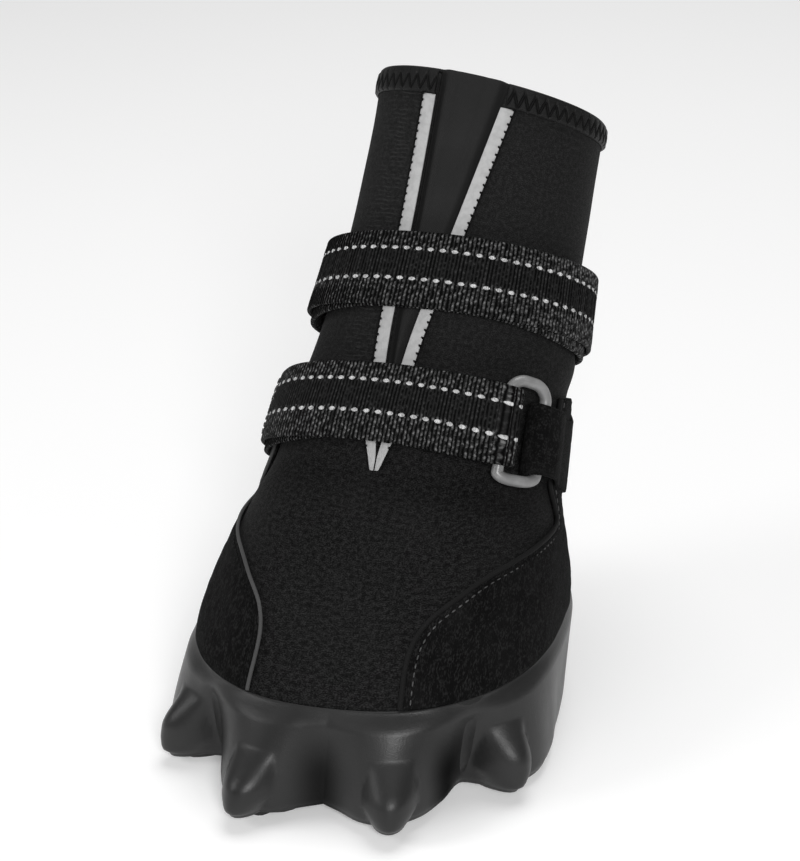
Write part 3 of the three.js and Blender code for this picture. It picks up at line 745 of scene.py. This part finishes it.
def cup_hollow_shade(wall, rise):
    """How deep each place on the cup's wall lies between its toes, from 0 to 1: the share of painted shade the rubber
    takes there.
    """
    bearing = np.degrees(np.abs(np.arctan2(wall[..., 0], -(wall[..., 1] - FOOT_MIDDLE))))
    deep = sum(share * bump(bearing - place, width) for place, width, share in HOLLOW_SHADES)
    return np.clip(deep * ease((0.92 - rise) / 0.6), 0, 1)


# Lugs: place, width and length as shares of the foot's width and length, and turn in degrees; the first four also
# stand mirrored on the other side
TREAD_LUGS = [(0.15, 0.4, 0.2, 0.24, 12), (0.4, 0.2, 0.18, 0.24, 38), (0.27, -0.06, 0.24, 0.18, 30),
              (0.27, -0.33, 0.24, 0.2, -40)]
MIDDLE_LUGS = [(0, 0.04, 0.34, 0.3, 0), (0, -0.42, 0.26, 0.2, 0)]
# Section of a lug from its rim to its middle: share of its size, and height above the floor in millimetres
LUG_PROFILE = [(1.0, TREAD_DEPTH + 2.6), (1.0, 0.35), (0.985, 0.12), (0.94, 0.0), (0.74, 0.0), (0.7, 0.5), (0.6, 0.5),
               (0.56, 0.0), (0.3, 0.0), (0.26, 0.35), (0.0, 0.35)]


def inside_sole(x, y):
    """Moves points that lie beyond a line a little inside the sole's edge back onto it."""
    angles = np.linspace(0, math.tau, 720)
    edge = cup_wall(angles, np.zeros_like(angles))[:, :2]
    turns = np.unwrap(np.arctan2(edge[:, 0], -edge[:, 1]))
    reach = np.linalg.norm(edge, axis=1) - TREAD_INSET
    turn = np.mod(np.arctan2(x, -y) - turns[0], math.tau) + turns[0]
    limit = np.interp(turn, turns, reach)
    length = np.hypot(x, y)
    share = np.minimum(1, limit / np.maximum(length, 1e-6))
    return x * share, y * share


def add_lug(shape, across, along, width, length, turned):
    """One tread lug: a domed oval with a grooved ring in its face."""
    turn = np.linspace(0, math.tau, 57)
    cos, sin = math.cos(math.radians(turned)), math.sin(math.radians(turned))
    rings = []
    for scale, height in LUG_PROFILE:
        x = np.cos(turn) * width * BALL_WIDTH / 2 * scale
        y = np.sin(turn) * length * FOOT_LENGTH / 2 * scale
        seat_x, seat_y = inside_sole(across * BALL_WIDTH + x * cos - y * sin,
                                     -along * FOOT_LENGTH + x * sin + y * cos)
        rings.append(np.stack([seat_x, seat_y, np.full_like(turn, height)], -1))
    rings = np.array(rings)
    part = loft(rings, rings[..., :2])
    close_ends(part)
    mesh = bpy.data.meshes.new("lug")
    part.to_mesh(mesh)
    part.free()
    shape.from_mesh(mesh)
    bpy.data.meshes.remove(mesh)


def make_outsole():
    angles = np.linspace(0, math.tau, 561)
    rises = np.concatenate([[0, 0.02, 0.045, 0.075, 0.11], np.linspace(0.15, 0.84, 38), [0.88, 0.92, 0.955, 0.98, 1]])
    wall = cup_wall(angles[None, :], rises[:, None])
    inner = skin(np.linspace(1.0, FLOOR_UP / CUP_HEIGHT, 8)[:, None], angles[None, :], 0.16)
    inner[0, :, 2] = wall[-1, :, 2]
    floor = [inner[-1] * (1 - share) + np.array([0, FOOT_MIDDLE, FLOOR_UP]) * share for share in (0.5, 1.0)]
    under = [wall[0] * (1 - share) + np.array([0, FOOT_MIDDLE, TREAD_DEPTH]) * share
             for share in (1.0, 0.7, 0.35, 0.08)]
    rings = np.array([*under, *wall, *inner, *floor])
    hollow_shade = np.zeros(rings.shape[:2])
    # Mask of painted shade for the hollows between the toes, carried to the rubber's colour
    hollow_shade[len(under):len(under) + len(wall)] = cup_hollow_shade(wall, rises[:, None])
    shape = loft(rings, rings[..., :2], {"hollow_shade": hollow_shade})
    turn_out(shape)
    for across, along, width, length, turned in TREAD_LUGS:
        add_lug(shape, across, along, width, length, turned)
        add_lug(shape, -across, along, width, length, -turned)
    for lug in MIDDLE_LUGS:
        add_lug(shape, *lug)
    finish_piece("Clawed_rubber_cup", shape, [RUBBER], ["outsole"])


def make_insole():
    angles = np.linspace(0, math.tau, 161)
    low = FLOOR_UP + CLEARANCE
    high = low + INSOLE_THICKNESS
    rings = []
    for height, inset in ((low, 1.0), (low, 0.2), (low + 0.5, 0), (high - 0.6, 0), (high - 0.15, 0.3), (high, 0.9)):
        ring = skin(height / CUP_HEIGHT, angles, -UPPER_WALL - CLEARANCE - inset)
        ring[:, 2] = height
        rings.append(ring)
    middle = rings[-1].mean(axis=0)
    for share in (0.25, 0.5, 0.75, 1.0):
        ring = rings[5] * (1 - share) + middle * share
        ring[:, 2] = high - 0.35 * ease(share) + 0.1 * ripple(ring[:, 0] / 9, ring[:, 1] / 9, 3)
        rings.append(ring)
    rings[-1][:] = rings[-1].mean(axis=0)
    base = rings[0].mean(axis=0)
    rings.insert(0, np.repeat(base[None], len(angles), axis=0))
    rings = np.array(rings)
    shape = loft(rings, rings[..., :2])
    turn_out(shape)
    finish_piece("Foam_insole", shape, [INSOLE_CLOTH], ["insole"])


# Upper

def strap_level(strap, angle):
    """Level of the middle of a strap at a bearing."""
    drop = strap["fall"] * (1 - np.cos(angle)) / 2 + strap["twist"] * np.sin(angle)
    return 2 + (strap["rise"] + STRAP_WIDTH / 2 - drop) / level_length(2.4, 0.0)


# Creases: level and bearing in degrees of the middle, length round in degrees, width in levels, depth in
# millimetres, and slope
CREASES = [
    (1.86, -16, 20, 0.050, 0.30, 0.10), (1.93, 12, 16, 0.045, 0.26, -0.12), (1.74, 30, 18, 0.05, 0.22, -0.22),
    (1.72, -36, 16, 0.05, 0.24, 0.25), (2.36, 40, 26, 0.035, 0.26, 0.08), (2.4, -48, 24, 0.035, 0.26, -0.05),
    (2.33, 76, 22, 0.04, 0.3, 0.1), (2.43, 108, 30, 0.04, 0.32, 0.06), (2.3, 158, 40, 0.05, 0.4, 0.0),
    (2.44, -130, 36, 0.045, 0.34, 0.0), (2.84, 52, 22, 0.05, 0.2, 0.1), (2.86, -60, 20, 0.05, 0.18, -0.1),
    (2.72, 150, 36, 0.05, 0.3, 0.0), (1.36, 4, 22, 0.06, 0.14, 0.04),
]
# Soft bulge between the straps on the ring's side: height in millimetres, bearing and length round in degrees,
# level and width
BULGE = (1.1, 102, 36, 2.31, 0.09)
SHAFT_LEVEL = 37


def cloth_relief(level, angle):
    """How the upper's cloth lies in from the last, in millimetres: where the straps press, and its soft creases."""
    turned = np.degrees(np.mod(angle + math.pi, math.tau) - math.pi)
    depth = np.zeros(np.broadcast(level, angle).shape)
    for strap, press in ((LOWER_STRAP, 0.5), (UPPER_STRAP, 0.55)):
        depth = depth - press * bump((level - strap_level(strap, angle)) * SHAFT_LEVEL, STRAP_WIDTH * 0.75)
    for at_level, bearing, length, width, deep, slope in CREASES:
        around = np.mod(turned - bearing + 180, 360) - 180
        off = level - at_level - slope * np.radians(around)
        depth = depth - deep * bump(off, width) * bump(around, length)
    height, bearing, length, at_level, width = BULGE
    depth = depth + height * bump(turned - bearing, length) * bump(level - at_level, width)
    return depth - 0.18 * ease((ripple(turned / 14, level * 7, 5) + 0.4) / 1.4)


# Cloth maps: millimetres round for one radian on the upper, the overlay and the binding, and up for one level
UPPER_ROUND, OVERLAY_ROUND, BINDING_ROUND = 28.0, 34, 26
OVERLAY_UP, GUSSET_UP = 34, 75


def make_upper():
    levels = np.concatenate([np.linspace(0.3, 0.94, 5), np.linspace(0.98, 3.0, 118)])
    shares = np.linspace(0, 1, 261)
    half = slot_half(levels) + np.where(levels > SLOT_FOOT, CLEARANCE / 2, 0)
    right = beside_throat(levels, half)
    left = beside_throat(levels, -half) + math.tau
    angles = right[:, None] + (left - right)[:, None] * shares[None, :]
    grid = np.repeat(levels[:, None], len(shares), axis=1)
    points = skin(grid, angles, cloth_relief(grid, angles))
    up = np.concatenate([[0], np.cumsum(np.diff(levels) * level_length((levels[1:] + levels[:-1]) / 2, 0.0))])
    beside = (1 - shares[None, :]) * (left - right)[:, None] * turn_length(grid, angles) - TRIM_WIDTH
    gather = ease(1 - np.abs(beside - 4.5) / 7) * ease((grid - 2.08) / 0.1)
    shape = loft(points, paired(angles * UPPER_ROUND, up[:, None]), {"gather": gather})
    made = finish_piece("Softshell_upper", shape, [SOFTSHELL, LINING], ["upper"])
    thicken(made, UPPER_WALL, lining=1)


def make_gusset():
    foot = 1.97
    levels = np.linspace(foot, 3.03, 90)
    shares = np.linspace(-1, 1, 61)
    half = slot_half(levels) + GUSSET_OVERLAP
    across = shares[None, :] * half[:, None]
    opened = slot_half(levels)[:, None]
    between = ease((THROAT_WIDTH / 2 + 2.4 - np.abs(across[-1])) / 1.4)
    grid = foot + (levels[:, None] - foot) / (levels[-1] - foot) * (1.005 + 0.038 * between)
    angles = beside_throat(grid, across)
    sag = 1.4 * ease((opened - np.abs(across)) / 2.2)
    fold = -0.22 * bump(across - 0.35 * opened - 0.3 * np.sin(grid * 9), 1.1) - 0.15 * bump(across + 0.5 * opened, 0.9)
    points = skin(grid, angles, -UPPER_WALL - CLEARANCE + sag + fold)
    shape = loft(points, paired(across, (grid - foot) * GUSSET_UP))
    made = finish_piece("Stretch_gusset", shape, [STRETCH], ["gusset"])
    thicken(made, GUSSET_THICKNESS * 0.8)


# Side overlay with its piped edge

OVERLAY_FOOT = 1.0 + CLEARANCE / float(level_length(1.1, math.pi / 2))


def overlay_level(rise):
    return OVERLAY_FOOT + rise * (OVERLAY_TOP - OVERLAY_FOOT)


def overlay_bearing(rise):
    return np.radians(table_value(OVERLAY_EDGE, rise)[..., 1])


def make_overlay():
    rises = np.linspace(0, 1, 121)
    levels = overlay_level(rises)
    start = overlay_bearing(rises)
    near = np.array([0, 0.4, 0.8, 1.2, 1.6, 2.0, 2.4, 2.9, 3.5])
    far = np.linspace(0, 1, 150)
    columns = len(near) * 2 + len(far)
    points = np.empty((len(rises), columns, 3))
    flat = np.empty((len(rises), columns, 2))
    for index, (rise, level, bearing) in enumerate(zip(rises, levels, start)):
        reach = float(turn_length(level, bearing))
        slope = float(np.gradient(start, rises)[index]) * reach / (OVERLAY_TOP - OVERLAY_FOOT)
        tilt = math.hypot(1, min(abs(slope) / float(level_length(level, bearing)), 2.5))
        ahead = bearing + near * tilt / reach
        after = ahead[-1] + 0.5 * tilt / reach
        middle = after + (math.tau - 2 * after) * far
        angles = np.concatenate([ahead, middle, math.tau - ahead[::-1]]) + OVERLAY_TURN
        inset = np.minimum(np.concatenate([near, np.full(len(far), 9.0), near[::-1]]), 9.0)
        top = (1 - rise) * float(level_length(level, math.pi)) * (OVERLAY_TOP - OVERLAY_FOOT)
        stitched = 0.22 * bump(inset - 1.9, 0.5) + 0.2 * bump(top - 1.9, 0.55)
        edge = 0.3 * (1 - ease(inset / 1.0)) + 0.3 * (1 - ease(top / 1.0))
        nap = 0.12 * ripple(angles * 22, level * 30, 8)
        lift = 0.1 + OVERLAY_THICKNESS * 0.9 - stitched - edge + nap
        points[index] = skin(level, angles, lift)
        flat[index] = paired(angles * OVERLAY_ROUND, (level - 1) * OVERLAY_UP)
    made = finish_piece("Suede_overlay", loft(points, flat), [SUEDE], ["side_overlay"])
    thicken(made, OVERLAY_THICKNESS * 0.8)


def overlay_edge_line(side, lift, inset=0.0, start=0.0, end=1.0, count=220):
    """Line along the overlay's front edge, set in from it by some millimetres, with the way out at each point."""
    rises = np.linspace(start, end, count)
    levels = overlay_level(rises)
    angles = overlay_bearing(rises)
    along = np.stack([np.gradient(angles) * turn_length(levels, angles),
                      np.gradient(levels) * level_length(levels, angles)], -1)
    along = unit(along)
    angles = angles + inset * along[:, 1] / turn_length(levels, angles)
    levels = levels - inset * along[:, 0] / level_length(levels, angles)
    turned = side * angles + OVERLAY_TURN
    return skin(levels, turned, lift), outward(levels, turned)


def make_piping():
    for side, name, cloth, thread, radius in ((-1, "left", PALE_PIPING, BLACK_THREAD, 0.42),
                                              (1, "right", DARK_PIPING, GREY_THREAD, 0.55)):
        centres, outs = overlay_edge_line(side, 0.78)
        along = unit(np.gradient(centres, axis=0))
        aside = unit(np.cross(along, outs))
        rings = tube_round(centres, aside, np.cross(aside, along), radius, 12, flatness=0.85)
        shape = loft(rings, crossed(run_along(centres), np.linspace(0, 4, len(rings))))
        close_ends(shape)
        finish_piece(f"Overlay_piping_{name}", shape, [cloth])
        line, ways = overlay_edge_line(side, 0.82, inset=1.95, start=0.015)
        sew(f"Overlay_stitches_{name}", dashes_along(line, ways, 1.9, 0.62), 0.36, thread)


# Throat trims and collar binding

BINDING_FOOT = 3 - BINDING_HEIGHT / float(level_length(3.0, 0.0))


def trim_line(side, share, lift):
    """Line along a throat tape at a share of its width, with the way out at each point."""
    top = BINDING_FOOT - 0.1 / float(level_length(3.0, 0.0))
    levels = np.linspace(2.0, top, 160)
    inner = np.maximum(slot_half(levels), CLEARANCE / 2 + 0.7 * ease((levels - 2.03) / 0.08))
    width = TRIM_WIDTH * np.clip(0.24 + 0.66 * ((levels - 2) / 0.11) ** 0.8, 0, 0.9)
    across = side * (inner + np.clip(share, 0, 1) * width + max(share - 1, 0) * TRIM_WIDTH)
    angles = beside_throat(levels, across)
    return skin(levels, angles, lift), outward(levels, angles)


def make_trims():
    shares = [0, 0.05, 0.15, 0.35, 0.5, 0.65, 0.85, 0.95, 1.0]
    for side, name in ((-1, "left"), (1, "right")):
        rows = []
        for share in shares:
            round_off = 0.16 * (1 - bump(abs(share - 0.5), 0.56))
            rows.append(trim_line(side, share, 0.06 + TRIM_THICKNESS - round_off)[0])
        points = np.array(rows if side < 0 else rows[::-1])
        shape = loft(points, crossed(np.linspace(0, 70, points.shape[1]), np.linspace(0, TRIM_WIDTH, len(shares))))
        made = finish_piece(f"Throat_tape_{name}", shape, [TAPE], [f"throat_trim_{name}"])
        thicken(made, TRIM_THICKNESS * 0.8)
        outer, ways = trim_line(side, 1.1, 0.35)
        inner, _ = trim_line(side, 0.84, 0.62)
        stitches = [(point_at(outer, place), point_at(inner, place + 0.8), ways[int(place)])
                    for place in walk(outer, 1.7)[3:]]
        sew(f"Throat_overlock_{name}", stitches, 0.6, BLACK_THREAD)
        edge, ways = trim_line(side, 1.08, 0.3)
        sew(f"Throat_edge_thread_{name}", dashes_along(edge, ways, 1.7, 0.98), 0.4, BLACK_THREAD)


ZIGZAG_PITCH = 2.4
PUFFED = 0.45
# Section of the binding from its lower edge outside round to the inside: height over the collar and distance out
BINDING_PROFILE = [
    (-BINDING_HEIGHT, 0.05), (-BINDING_HEIGHT, 0.35), *[(height, PUFFED) for height in np.linspace(-4.4, -0.4, 13)],
    (0.0, 0.5), (0.4, 0.42), (0.75, 0.1), (0.92, -0.5), (0.85, -1.3), (0.45, -2.0), (-0.3, -2.3), (-2.0, -2.3),
    (-3.6, -2.3), (-3.9, -2.0), (-3.7, -1.7), (0.1, -1.68), (0.15, 0.02), (-BINDING_HEIGHT, 0.05),
]


def make_binding():
    """Folded binding, drawn in along the zigzag threads so that it puffs out between them."""
    half = float(slot_half(3.0)) + CLEARANCE / 2
    angles = np.linspace(float(beside_throat(3.0, half)), float(beside_throat(3.0, -half)) + math.tau, 800)
    up = 1 / float(level_length(3.0, 0.0))
    low, high = -4.0, -0.8
    run = run_along(skin(3 + low * up, angles, 0.7))
    turns = run / run[-1] * int(run[-1] / (ZIGZAG_PITCH / 2)) / 2
    zigzag = 1 - np.abs(np.mod(turns, 1) * 2 - 1)
    rows = []
    for height, offset in BINDING_PROFILE:
        puff = 0.0
        if offset == PUFFED:
            share = (height - low) / (high - low)
            inside = ease((height + BINDING_HEIGHT) / 0.5) * ease(-height / 0.5)
            puff = 0.42 * inside * (1 - bump((np.clip(share, 0, 1) - zigzag) * 1.15, 0.42))
        rows.append(skin(3 + height * up, angles, offset + puff))
    shape = loft(np.array(rows), crossed(angles * BINDING_ROUND, run_along(np.array(BINDING_PROFILE))))
    close_ends(shape)
    finish_piece("Collar_binding", shape, [BINDING_CLOTH], ["collar_binding"])
    bottom = skin(3 + low * up, angles, 0.6)
    top = skin(3 + high * up, angles, 0.62)
    ways = outward(np.full_like(angles, 2.97), angles)
    sew("Collar_zigzag", zigzag_along(bottom, top, ways, ZIGZAG_PITCH), 0.62, BLACK_THREAD)


# Webbing straps, ring and tab

UNDER_LIFT = CLEARANCE + OVERLAY_THICKNESS + CLEARANCE + WEBBING / 2
RIB_PITCH = 0.8
HEM_LANE = 0.42
SLIP = 0.012
TOP_LIFT = UNDER_LIFT + WEBBING + CLEARANCE
BAR_LIFT = UNDER_LIFT + WEBBING / 2 + BAR_PLAY + RING_WIRE / 2
OVER_LIFT = BAR_LIFT + RING_WIRE / 2 + BAR_PLAY + WEBBING / 2
RING_LEVEL = float(strap_level(LOWER_STRAP, RING_BEARING))
BAR_REACH = float(turn_length(RING_LEVEL, RING_BEARING))


def ring_level(angle):
    return strap_level(LOWER_STRAP, angle) - RING_SAG / level_length(RING_LEVEL, angle)


def band(path, level_of, width, thickness, rib_pitch=0.0, drop=None):
    """Closed band that follows a path of bearings and lifts over the upper, with rounded edges and raised ribs."""
    angle, lift = np.asarray(path, float).T
    level = level_of(angle)
    if drop is not None:
        level = level - drop / level_length(level, angle)
    reach = turn_length(level, angle)
    half = width / 2 / level_length(level, angle)
    along = np.gradient(angle) * reach
    rise = np.gradient(lift)
    length = np.hypot(along, rise)
    turn_step = -rise / length / reach
    lift_step = along / length
    run = np.concatenate([[0], np.cumsum((length[1:] + length[:-1]) / 2)])
    points, flat = [], []
    for side, out in band_profile(width, thickness):
        ribs = 0.0
        if rib_pitch and out > 0:
            outer_band = abs(side) > 0.23
            pitch = rib_pitch if outer_band else rib_pitch * 0.7
            ribs = (0.075 if outer_band else 0.04) * np.sin(run * math.tau / pitch) * thickness
        offset = out * thickness / 2 + ribs
        points.append(skin(level + 2 * side * half, angle + offset * turn_step, lift + offset * lift_step))
        flat.append(paired(run, (side + 0.5) * width))
    shape = loft(np.array(points), np.array(flat))
    close_ends(shape)
    return shape


def band_profile(width, thickness):
    """Section of a band: shares of its width and half its thickness, all the way round."""
    edge = 0.5 - thickness / width * 0.35
    lanes = [-edge, -0.44, -0.38, -0.32, -0.27, -0.22, -0.17, -0.14, -0.11, 0.0, 0.1, 0.2, 0.24, 0.27, 0.3, 0.35, 0.41,
             0.45, edge]
    top = []
    for lane in lanes:
        dip = 0.12 if lane in (-0.14, 0.27) else 0.0
        top.append((lane, 1.0 - dip - 0.1 * (abs(lane) > 0.4)))
    under = [(edge, -0.9), (0.3, -1.0), (0.0, -1.0), (-0.3, -1.0), (-edge, -0.9)]
    return [*top, (0.495, 0.62), (0.502, 0.0), (0.495, -0.6), *under, (-0.495, -0.6), (-0.502, 0.0), (-0.495, 0.62),
            top[0]]


def bearings(start, end, step=0.35):
    """Bearings in radians at an even step from one to another."""
    return np.radians(np.linspace(start, end, max(int(abs(end - start) / 27 * 57 / step), 8)))


def make_upper_strap():
    """Under-layer and top layer of the strap round the shaft, the top one a little higher."""
    lift = CLEARANCE + TRIM_THICKNESS + CLEARANCE + WEBBING / 2

    def under_level(angle):
        return strap_level(UPPER_STRAP, angle)

    def over_level(angle):
        return under_level(angle) + SLIP

    under = bearings(-172, 172, 0.9)
    droop = 2.2 * ease((-np.degrees(under) - 20) / 70) + 2.0 * ease((np.degrees(under) - 20) / 60) - 0.9
    shape = band(paired(under, lift), under_level, STRAP_WIDTH, WEBBING, RIB_PITCH, droop)
    finish_piece("Upper_strap_base", shape, [WEBBING_CLOTH], ["upper_strap_base"])
    over = bearings(-112, 150)
    lifted = lift + WEBBING + CLEARANCE + 0.12 * np.sin(over * 3.1) ** 2
    shape = band(paired(over, lifted), over_level, STRAP_WIDTH, WEBBING, RIB_PITCH)
    finish_piece("Upper_strap", shape, [WEBBING_CLOTH], ["upper_strap"])
    sew_strap_end("Upper_strap_hem", -112, over_level, lift + WEBBING * 1.5 + CLEARANCE + 0.1)


def sew_strap_end(name, bearing, level_of, lift):
    """Hem of a strap's free end: a row of stitches near the end and a cross-stitched block beside it."""
    start = math.radians(bearing)
    reach = float(turn_length(level_of(np.array(start)), start))
    stitches = []
    lanes = np.linspace(-HEM_LANE, HEM_LANE, 9)
    near, far, slant = 1.3, 9.5, 0.09

    def seat(along, lane):
        angle = start + along / reach
        level = float(level_of(np.array(angle)))
        level += lane * STRAP_WIDTH / float(level_length(level, angle))
        return skin(level, angle, lift), outward(level, angle)

    def stitch(begin, end):
        first, out = seat(*begin)
        stitches.append((first, seat(*end)[0], out))

    for low, high in zip(lanes[:-1], lanes[1:]):
        for along in (near, far):
            stitch((along, low), (along, low + (high - low) * 0.72))
    for share in np.arange(8) / 8:
        for lane in (-HEM_LANE, HEM_LANE):
            stitch(*[(near + (far - near) * part, lane - 2 * lane * part) for part in (share, share + slant)])
    sew(name, stitches, 0.42, GREY_THREAD)


def fold_path(bearing, reach, low, high, facing, steps):
    """Half turn of a band round a bar, between two heights over the last."""
    radius = (high - low) / 2
    turns = np.linspace(-math.pi / 2, math.pi / 2, steps)
    return paired(bearing + facing * radius * np.cos(turns) / reach, (high + low) / 2 + radius * np.sin(turns))


def make_lower_strap():
    """One band: its under-layer, its fold round the ring's bar and its top layer."""

    def level_of(angle):
        return strap_level(LOWER_STRAP, angle)

    bar = math.degrees(RING_BEARING)
    under = bearings(-135, bar - 4, 0.6)
    over = bearings(bar - 4, -92)
    settle = (1 + np.cos(math.pi * np.clip((RING_BEARING - over) / math.radians(30), 0, 1))) / 2
    lifted = TOP_LIFT + (OVER_LIFT - TOP_LIFT) * settle + 0.1 * np.sin(over * 2.7) ** 2 * (1 - settle)
    fold = fold_path(RING_BEARING, BAR_REACH, UNDER_LIFT, OVER_LIFT, 1, 25)
    path = np.concatenate([paired(under, UNDER_LIFT)[:-1], fold, paired(over, lifted)[1:]])
    low = np.concatenate([2.8 * ease((-np.degrees(under[:-1]) - 20) / 70), np.zeros(len(fold) + len(over) - 1)])
    shape = band(path, level_of, STRAP_WIDTH, WEBBING, RIB_PITCH, low)
    finish_piece("Lower_strap", shape, [WEBBING_CLOTH], ["lower_strap"])
    sew_strap_end("Lower_strap_hem", -92, level_of, TOP_LIFT + WEBBING / 2 + 0.1)


def make_ring():
    """Oval ring bent to the leg's curve."""
    middle = RING_BEARING + RING_DEPTH / 2 / BAR_REACH
    half_deep = RING_DEPTH / 2 - RING_CORNER
    half_long = (RING_LENGTH - RING_WIRE) / 2 - RING_CORNER
    corner = np.radians(np.linspace(0, 90, 13))
    outline = []
    for quarter, (deep, long) in enumerate(((1, 1), (-1, 1), (-1, -1), (1, -1))):
        turns = corner + quarter * math.pi / 2
        outline.append(paired(deep * half_deep + RING_CORNER * np.cos(turns),
                              long * half_long + RING_CORNER * np.sin(turns)))
        if quarter in (0, 2):
            outline.append(outline[-1][-1:] + [[-deep * half_deep, 0]])
        else:
            outline.append(outline[-1][-1:] + np.linspace(0, -2 * long * half_long, 14)[1:-1, None] * [[0, 1]])
    outline = np.concatenate([*outline, outline[0][:1]])

    def spine(lift):
        angle = middle + outline[:, 0] / BAR_REACH
        level = ring_level(angle) + outline[:, 1] / level_length(RING_LEVEL, angle)
        return skin(level, angle, lift)

    centres = spine(BAR_LIFT)
    outs = spine(BAR_LIFT + 1) - centres
    ahead = np.roll(centres[:-1], -1, axis=0) - np.roll(centres[:-1], 1, axis=0)
    ahead = np.concatenate([ahead, ahead[:1]])
    shape = loft(tube_round(centres, unit(np.cross(ahead, outs)), outs, RING_WIRE / 2, 20))
    turn_out(shape)
    finish_piece("Strap_ring", shape, [RING_GREY], ["ring"])


def make_ring_tab():
    """Folded tab round the ring's other bar, with two rows of stitches across its end."""
    bar = RING_BEARING + RING_DEPTH / BAR_REACH
    end = bar + (TAB_LENGTH + 7) / BAR_REACH
    close = bar + math.radians(4)
    tucked = CLEARANCE + OVERLAY_THICKNESS * 1.5 - 0.55
    under = paired(np.linspace(bar + math.radians(13), close, 24), tucked)
    fold = fold_path(bar, BAR_REACH, tucked, OVER_LIFT, -1, 23)
    over = np.linspace(close, end, 40)
    settle = (1 + np.cos(math.pi * np.clip((over - bar) / math.radians(26), 0, 1))) / 2
    low = tucked + 0.1
    lifted = low + (OVER_LIFT - low) * settle
    path = np.concatenate([under[:-1], fold, paired(over, lifted)[1:]])
    shape = band(path, ring_level, TAB_WIDTH, OVERLAY_THICKNESS * 0.9)
    finish_piece("Ring_tab", shape, [SUEDE], ["ring_tab"])
    for index, back in enumerate((1.4, 8.6)):
        angle = np.full(60, end - back / BAR_REACH)
        levels = ring_level(angle)
        spread = np.linspace(-HEM_LANE, HEM_LANE, 60) * TAB_WIDTH / level_length(levels, angle)
        lift = float(np.interp(angle[0], over, lifted)) + OVERLAY_THICKNESS * 0.45 + 0.04
        stitches = dashes_along(skin(levels + spread, angle, lift), outward(levels, angle), 1.7, 0.66)
        sew(f"Ring_tab_stitches_{index}", stitches, 0.32, GREY_THREAD)


make_outsole()
make_insole()
make_upper()
make_gusset()
make_overlay()
make_piping()
make_trims()
make_binding()
make_upper_strap()
make_lower_strap()
make_ring()
make_ring_tab()


# Floor, light and camera

STUDIO_MIDDLE = (0, 0.02, 0.06)
# Camera fitted to the photograph: bearing, rise and roll in degrees, target and distance in metres, and focal
# length, shift and longer side of the picture in pixels
CAMERA_TURNS = (15.46, 24.226, -2.227)
CAMERA_TARGET = (0, 0.014, 0.062)
CAMERA_DISTANCE = 0.54292
FOCAL_LENGTH, LENS_SHIFT, PICTURE_SIDE = 2561.8, (18.4, -7.7), 861
SENSOR_WIDTH = 36


def make_floor():
    shape = bmesh.new()
    bmesh.ops.create_grid(shape, x_segments=1, y_segments=1, size=6)
    mesh = bpy.data.meshes.new("Studio_floor")
    shape.to_mesh(mesh)
    shape.free()
    made, tree, shader = start_finish("Studio paper", 0.86, 0.9, 0.1)
    worn = use_group(WORN, object_place(tree), Colour=grey(0.86), Pale=grey(0.84), Patch=0.4, Amount=0.5)
    feed(shader, "Base Color", worn["Colour"])
    shader.inputs["Emission Color"].default_value = grey(1.0)
    shader.inputs["Emission Strength"].default_value = 0.2
    mesh.materials.append(made)
    floor = bpy.data.objects.new("Studio_floor", mesh)
    bpy.context.scene.collection.objects.link(floor)


def add_light(name, place, size, power):
    lamp = bpy.data.lights.new(name, "AREA")
    lamp.shape = "DISK"
    lamp.size = size
    lamp.energy = power
    made = bpy.data.objects.new(name, lamp)
    made.location = place
    made.rotation_mode = "QUATERNION"
    made.rotation_quaternion = (Vector(STUDIO_MIDDLE) - Vector(place)).to_track_quat("-Z", "Y")
    bpy.context.scene.collection.objects.link(made)


def set_light():
    world = bpy.data.worlds.new("Studio light")
    world.use_nodes = True
    background = world.node_tree.nodes["Background"]
    background.inputs["Color"].default_value = (1, 1, 1, 1)
    background.inputs["Strength"].default_value = 0.2
    bpy.context.scene.world = world
    add_light("Key_softbox", (0.32, -0.8, 0.5), 0.3, 6)
    add_light("Side_softbox", (-0.75, -0.35, 0.5), 0.35, 2)
    add_light("Top_softbox", (0.05, 0.35, 1.1), 0.8, 6)


def set_camera():
    bearing, rise, roll = map(math.radians, CAMERA_TURNS)
    back = Vector((math.sin(bearing) * math.cos(rise), -math.cos(bearing) * math.cos(rise), math.sin(rise)))
    lens = bpy.data.cameras.new("Camera")
    lens.sensor_fit = "AUTO"
    lens.sensor_width = SENSOR_WIDTH
    lens.lens = FOCAL_LENGTH * SENSOR_WIDTH / PICTURE_SIDE
    lens.shift_x, lens.shift_y = [shift / PICTURE_SIDE for shift in LENS_SHIFT]
    lens.clip_start = 0.01
    lens.clip_end = 50
    camera = bpy.data.objects.new("Camera", lens)
    camera.location = Vector(CAMERA_TARGET) + back * CAMERA_DISTANCE
    camera.rotation_mode = "QUATERNION"
    turn = (-back).to_track_quat("-Z", "Y")
    camera.rotation_quaternion = turn @ Matrix.Rotation(roll, 4, "Z").to_quaternion()
    bpy.context.scene.collection.objects.link(camera)
    bpy.context.scene.camera = camera
    bpy.context.scene.view_settings.view_transform = "Standard"


make_floor()
set_light()
set_camera()
